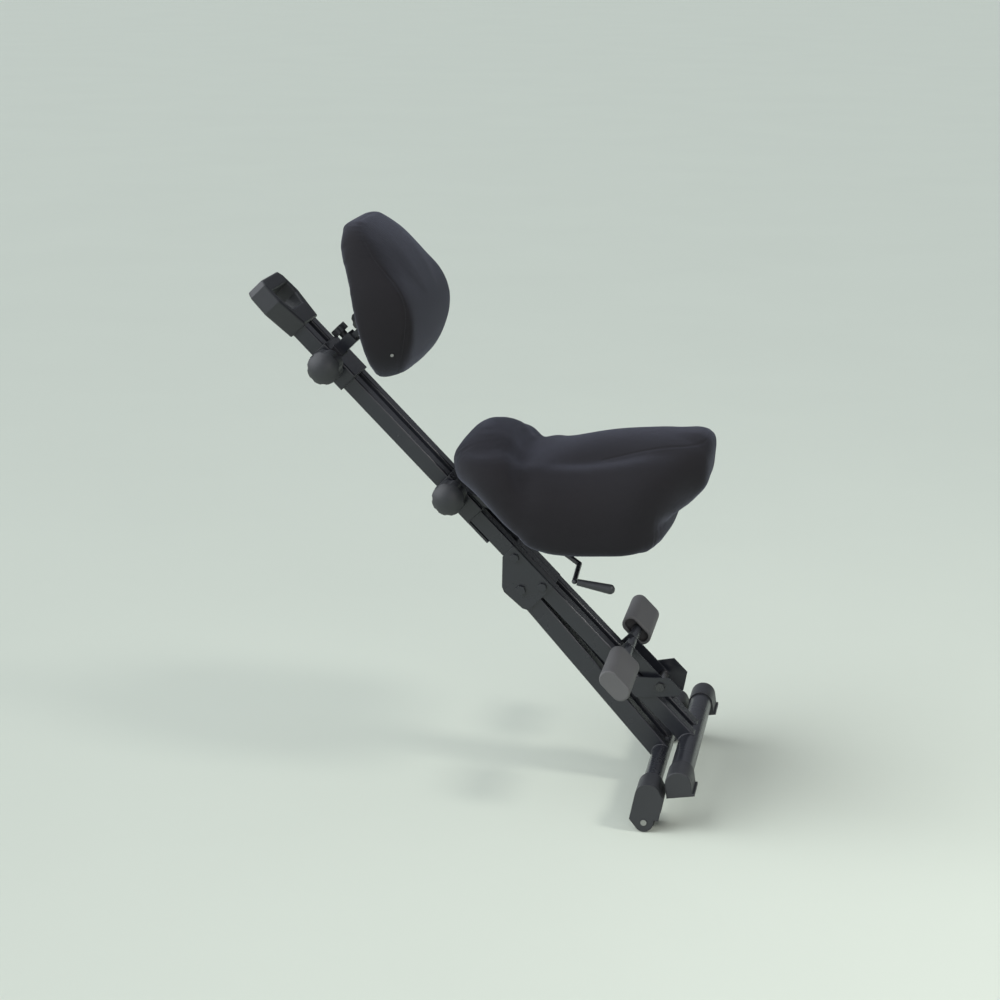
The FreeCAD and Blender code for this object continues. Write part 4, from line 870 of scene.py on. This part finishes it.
def middle_of(node_name):
    """The middle of a solid's box."""
    low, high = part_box(node_name)
    return (Vector(low) + Vector(high)) / 2


def on_column(front, side, up):
    """A point given in millimetres from the foot of the column, placed in the stool."""
    foot = middle_of("base_cross_tube") + RAIL_FRONT * TUBE_SETBACK * MILLIMETRE
    return foot + (RAIL_FRONT * front + Vector((0.0, side, 0.0)) + RAIL_UP * up) * MILLIMETRE


def straight(start, end, count, outward):
    """Even steps from one point to another, with one normal."""
    return [(start.lerp(end, step / count), outward) for step in range(count + 1)]


def arc(centre, first, second, turns, count, outward):
    """Even steps round a centre, with one normal, from the first arm's way towards the second's."""
    steps = []
    for step in range(count + 1):
        turn = turns[0] + (turns[1] - turns[0]) * step / count
        steps.append((centre + first * math.cos(turn) + second * math.sin(turn), outward))
    return steps


# One ripple of weld: how it is flattened, and its distance from a corner and from the next, in millimetres
RIPPLE_SHAPE = (1.0, 0.8, 0.7)
RIPPLE_PROUD = 0.8
RIPPLE_STEP = 1.8
# Arcs of weld round the base tube and round the rear tube; zero is straight up the column or the leg
BASE_ARC = (math.radians(-29), math.radians(70))
LEG_ARC = (math.radians(-84), math.radians(84))
# Height of the welds of the seat's arms, in millimetres up the column
ARM_WELD = (490, 519)
# Ripples in each run
BASE_RIPPLES = 22
LEG_RIPPLES = 24
ARM_RIPPLES = 16
GUIDE_SIDE_RIPPLES = 10
GUIDE_END_RIPPLES = 16
BOSS_RIPPLES = 36


def bead_along(name, runs, body):
    """Weld beads: one flattened ripple, repeated so closely that the ripples overlap."""
    bpy.ops.mesh.primitive_uv_sphere_add(segments=8, ring_count=6, radius=sizes().bead_radius)
    ripple = bpy.context.object
    edit_all(ripple)
    bpy.ops.transform.resize(value=RIPPLE_SHAPE)
    bpy.ops.object.mode_set(mode="OBJECT")
    piece = repeat_along(name, ripple, runs, "black_steel_coat")
    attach(piece, body)


class STOOL_OT_weld_beads(bpy.types.Operator):
    """Lay the weld beads where tubes, plates and sleeves meet"""
    bl_idname = "stool.weld_beads"
    bl_label = "Weld beads"

    def execute(self, context):
        bead_along("frame_welds", self.frame_runs(), "frame")
        bead_along("leg_welds", self.leg_runs(), "rear_leg")
        bead_along("seat_welds", self.seat_runs(), "seat_carriage")
        bead_along("backrest_welds", self.backrest_runs(), "backrest_carriage")
        return {"FINISHED"}

    def frame_runs(self):
        """Welds of the column's rails on the base tube, and of the footrest's plates on the rails."""
        up = RAIL_UP * BASE_RADIUS * MILLIMETRE
        ahead = RAIL_FRONT * BASE_RADIUS * MILLIMETRE
        runs = []
        for side in SIDES:
            out = Vector((0.0, side, 0.0))
            middle = on_column(-TUBE_SETBACK, side * COLUMN_SIDE, 0.0)
            runs.append(arc(middle, up, ahead, BASE_ARC, BASE_RIPPLES, out))
            foot, top = PLATE_WELDS[side]
            ends = [on_column(RAIL_HALF + RIPPLE_PROUD, side * (COLUMN_SIDE - RIPPLE_PROUD), end)
                    for end in (foot, top)]
            corner = (RAIL_FRONT - out).normalized()
            runs.append(straight(*ends, int((top - foot) / RIPPLE_STEP), corner))
        return runs

    def leg_runs(self):
        """Welds of the rear leg's tubes on the rear cross tube."""
        tube = middle_of("rear_cross_tube")
        up_leg = Vector(JOINTS["rear_leg_fold"]["pos_m"]) - tube
        up_leg.y = 0.0
        up = up_leg.normalized() * REAR_RADIUS * MILLIMETRE
        ahead = Vector((0.0, 1.0, 0.0)).cross(up)
        runs = []
        for side in SIDES:
            middle = Vector((tube.x, side * LEG_SIDE * MILLIMETRE, tube.z))
            runs.append(arc(middle, up, ahead, LEG_ARC, LEG_RIPPLES, Vector((0.0, side, 0.0))))
        return runs

    def seat_runs(self):
        """Welds of the seat's arms and its clamp boss on the seat's sleeve."""
        runs = []
        for side in SIDES:
            ends = [on_column(SLEEVE_FRONT, side * ARM_SIDE, end) for end in ARM_WELD]
            corner = (Vector((0.0, side, 0.0)) + RAIL_FRONT).normalized()
            runs.append(straight(*ends, ARM_RIPPLES, corner))
        runs.append(self.round_boss("seat_clamp_turn"))
        return runs

    def backrest_runs(self):
        """Welds of the depth bar's guide and the clamp boss on the backrest's sleeve."""
        runs = [self.round_boss("backrest_clamp_turn")]
        for side in SIDES:
            ends = [on_column(SLEEVE_FRONT, side * GUIDE_SIDE, end) for end in (GUIDE_FOOT, GUIDE_TOP)]
            runs.append(straight(*ends, GUIDE_SIDE_RIPPLES, RAIL_FRONT))
        for up in (GUIDE_FOOT, GUIDE_TOP):
            ends = [on_column(SLEEVE_FRONT, side * GUIDE_SIDE, up) for side in SIDES]
            runs.append(straight(*ends, GUIDE_END_RIPPLES, RAIL_FRONT))
        return runs

    def round_boss(self, joint):
        """A ring of weld round a clamp boss, on the sleeve's right side."""
        centre = Vector(JOINTS[joint]["pos_m"])
        centre.y = -SLEEVE_SIDE * MILLIMETRE
        reach = BOSS_RADIUS * MILLIMETRE
        whole_turn = (0.0, 2.0 * math.pi)
        right = Vector((0.0, -1.0, 0.0))
        return arc(centre, RAIL_FRONT * reach, RAIL_UP * reach, whole_turn, BOSS_RIPPLES, right)


# A sleeve's plastic lip, in metres: its outer depth and width, its wall and its rounded edge
LIP_DEPTH = 0.0322
LIP_WIDTH = 0.0792
LIP_WALL = 0.0034
LIP_EDGE = 0.0004


class STOOL_OT_line_sleeves(bpy.types.Operator):
    """Put a plastic lip on each end of the two sleeves that slide on the rails"""
    bl_idname = "stool.line_sleeves"
    bl_label = "Line sleeves"

    def execute(self, context):
        turn = Matrix((RAIL_FRONT, (0.0, 1.0, 0.0), RAIL_UP)).transposed().to_euler()
        for body, (foot, top) in SLEEVE_ENDS.items():
            lips = []
            for up in (foot - sizes().liner_lip / MILLIMETRE, top):
                bpy.ops.mesh.primitive_plane_add(size=1.0)
                lip = context.object
                edit_all(lip)
                bpy.ops.transform.resize(value=(LIP_DEPTH, LIP_WIDTH, 1.0))
                bpy.ops.mesh.inset(thickness=LIP_WALL)
                bpy.ops.mesh.delete(type="FACE")
                bpy.ops.object.mode_set(mode="OBJECT")
                apply_modifier(lip, "Thickness", "SOLIDIFY", thickness=sizes().liner_lip, offset=1.0)
                apply_modifier(lip, "Soft edge", "BEVEL", width=LIP_EDGE, segments=2)
                set_down(lip, on_column(0.0, 0.0, up), turn)
                lips.append(lip)
            piece = join_two(*lips, f"{body}_liner")
            piece.data.materials.append(bpy.data.materials["black_plastic_moulded"])
            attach(piece, body)
        return {"FINISHED"}


# The plug low on the backrest's right side, in millimetres from the hinge, and its size in metres
BACK_PLUG = (73, -150, -43)
PLUG_RADIUS = 0.0027
PLUG_HEIGHT = 0.0024
# Steps of the plug's face from its rim to its middle: how far in and how far up each goes
PLUG_STEPS = ((0.0006, 0.0005), (0.0008, 0.0002), (0.0004, -0.0004))
PLUG_CREASE = math.radians(40.0)


class STOOL_OT_fit_plugs(bpy.types.Operator):
    """Fit a small bright plug to each side of the backrest"""
    bl_idname = "stool.fit_plugs"
    bl_label = "Fit plugs"

    def execute(self, context):
        cover = form_of(bpy.data.objects["backrest_cover"])
        plugs = []
        for near in in_back([BACK_PLUG] + mirrored([BACK_PLUG])):
            place, normal, _face, _distance = cover.find_nearest(near)
            bpy.ops.mesh.primitive_cylinder_add(vertices=24, radius=PLUG_RADIUS, depth=PLUG_HEIGHT)
            plug = context.object
            select_faces(plug, lambda face: face.normal.z > END_FACE)
            for inset, rise in PLUG_STEPS:
                bpy.ops.mesh.inset(thickness=inset, depth=rise)
            bpy.ops.object.mode_set(mode="OBJECT")
            set_down(plug, place, normal.to_track_quat("Z", "Y").to_euler())
            plugs.append(plug)
        piece = join_two(*plugs, "backrest_plugs")
        bpy.ops.object.shade_smooth_by_angle(angle=PLUG_CREASE)
        piece.data.materials.append(bpy.data.materials["bright_steel_plated"])
        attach(piece, "backrest")
        return {"FINISHED"}


# Stage

# What the lamps look at, and where they hang, in metres
STAGE_MIDDLE = (-0.25, 0.0, 0.45)
KEY_PLACE = (-3.0, -1.0, 2.6)
KEY_ANGLE = math.radians(75.0)
EDGE_PLACE = (1.75, -0.80, 1.98)
EDGE_WIDTH = 0.5
FILL_PLACE = (1.2, -3.8, 1.6)
FILL_WIDTH = 1.8
# Colours of the lamps, and of the surroundings low in front, low behind and overhead
KEY_COLOUR = (0.94, 0.97, 1.0)
EDGE_COLOUR = (1.0, 0.99, 0.96)
FILL_COLOUR = (1.0, 0.95, 0.90)
LOW_FRONT = (0.10, 0.10, 0.10, 1.0)
LOW_BEHIND = (1.20, 1.28, 1.45, 1.0)
OVERHEAD = (0.62, 0.66, 0.74, 1.0)
# How fast the surroundings change with height, with the way back along X, and with the way to the right along Y
HEIGHT_RATE = 1.3
BACK_RATE = 0.45
RIGHT_RATE = 0.30


def add_lamp(name, kind, place, strength, colour):
    """Hang a lamp at a place so that it looks at the middle of the stage."""
    lamp = bpy.data.lights.new(name, kind)
    lamp.energy = strength
    lamp.color = colour
    holder = new_object(name, lamp)
    holder.location = place
    ahead = Vector(STAGE_MIDDLE) - Vector(place)
    holder.rotation_euler = ahead.to_track_quat("-Z", "Y").to_euler()
    return lamp


class STOOL_OT_set_stage(bpy.types.Operator):
    """Lay the floor and set the lights and the camera"""
    bl_idname = "stool.set_stage"
    bl_label = "Set stage"

    def execute(self, context):
        scene = context.scene
        stage = scene.stool_stage
        self.lay_floor(context)
        world = bpy.data.worlds.new("soft_studio")
        scene.world = world
        world.use_nodes = True
        self.paint_world(world.node_tree, stage.world_strength)
        key = add_lamp("key_light", "SUN", KEY_PLACE, stage.key_strength, KEY_COLOUR)
        key.angle = KEY_ANGLE
        edge = add_lamp("edge_light", "AREA", EDGE_PLACE, stage.edge_power, EDGE_COLOUR)
        edge.size = EDGE_WIDTH
        fill = add_lamp("fill_light", "AREA", FILL_PLACE, stage.fill_power, FILL_COLOUR)
        fill.size = FILL_WIDTH
        camera = bpy.data.cameras.new("camera")
        camera.sensor_width = SENSOR_WIDTH
        camera.lens = stage.focal_length
        camera.clip_end = 300.0
        holder = new_object("camera", camera)
        holder.location = stage.camera_place
        holder.rotation_euler = (math.pi / 2 - stage.camera_pitch, 0.0, stage.camera_heading)
        scene.camera = holder
        scene.view_settings.view_transform = "Standard"
        return {"FINISHED"}

    def lay_floor(self, context):
        """A wide, pale, faintly mottled floor."""
        bpy.ops.mesh.primitive_grid_add(x_subdivisions=8, y_subdivisions=8, size=160.0)
        floor = context.object
        floor.name = "floor"
        material, tree, shader, coordinates = new_material("pale_floor")
        mottle = add_noise(tree, coordinates.outputs["Object"], scale=1.4, detail=4.0)
        pale = colours().floor
        deeper = [0.95 * part for part in pale]
        tree.links.new(add_mix(tree, mottle, (*deeper, 1.0), (*pale, 1.0)), shader.inputs["Base Color"])
        shader.inputs["Roughness"].default_value = 0.75
        floor.data.materials.append(material)

    def paint_world(self, tree, strength):
        """Light from all round: dark low in front of the stool, bright and bluish low behind it."""
        background = tree.nodes["Background"]
        background.inputs["Strength"].default_value = strength
        coordinates = tree.nodes.new("ShaderNodeTexCoord")
        split = tree.nodes.new("ShaderNodeSeparateXYZ")
        tree.links.new(coordinates.outputs["Generated"], split.inputs[0])
        height = add_math(tree, "MULTIPLY", add_math(tree, "ABSOLUTE", split.outputs["Z"]), HEIGHT_RATE)
        sideways = scaled(tree, split.outputs["X"], -BACK_RATE, BACK_RATE)
        behind = scaled(tree, split.outputs["Y"], -RIGHT_RATE, sideways)
        low = add_mix(tree, behind, LOW_FRONT, LOW_BEHIND)
        tree.links.new(add_mix(tree, height, low, OVERHEAD), background.inputs["Color"])


class STOOL_PT_pieces(bpy.types.Panel):
    """The stool's operators and settings"""
    bl_idname = "STOOL_PT_pieces"
    bl_label = "Sit-stand stool"
    bl_space_type = "VIEW_3D"
    bl_region_type = "UI"
    bl_category = "Stool"

    def draw(self, context):
        layout = self.layout
        for operator in OPERATORS:
            layout.operator(operator.bl_idname)
        for name, kind in SETTINGS.items():
            box = layout.box()
            for setting in kind.__annotations__:
                box.prop(getattr(context.scene, name), setting)


OPERATORS = (
    STOOL_OT_mix_finishes,
    STOOL_OT_upholster_seat,
    STOOL_OT_upholster_backrest,
    STOOL_OT_weld_beads,
    STOOL_OT_line_sleeves,
    STOOL_OT_fit_plugs,
    STOOL_OT_set_stage,
)
SETTINGS = {"stool_colours": StoolColours, "stool_sizes": StoolSizes, "stool_stage": StoolStage}
CLASSES = (*SETTINGS.values(), *OPERATORS, STOOL_PT_pieces)


def register():
    for kind in CLASSES:
        bpy.utils.register_class(kind)
    for name, group in SETTINGS.items():
        setattr(bpy.types.Scene, name, bpy.props.PointerProperty(type=group))


def unregister():
    for name in SETTINGS:
        delattr(bpy.types.Scene, name)
    for kind in reversed(CLASSES):
        bpy.utils.unregister_class(kind)


def main():
    register()
    bpy.ops.stool.mix_finishes()
    bpy.ops.stool.upholster_seat()
    bpy.ops.stool.upholster_backrest()
    bpy.ops.stool.weld_beads()
    bpy.ops.stool.line_sleeves()
    bpy.ops.stool.fit_plugs()
    bpy.ops.stool.set_stage()


if __name__ == "__main__":
    main()
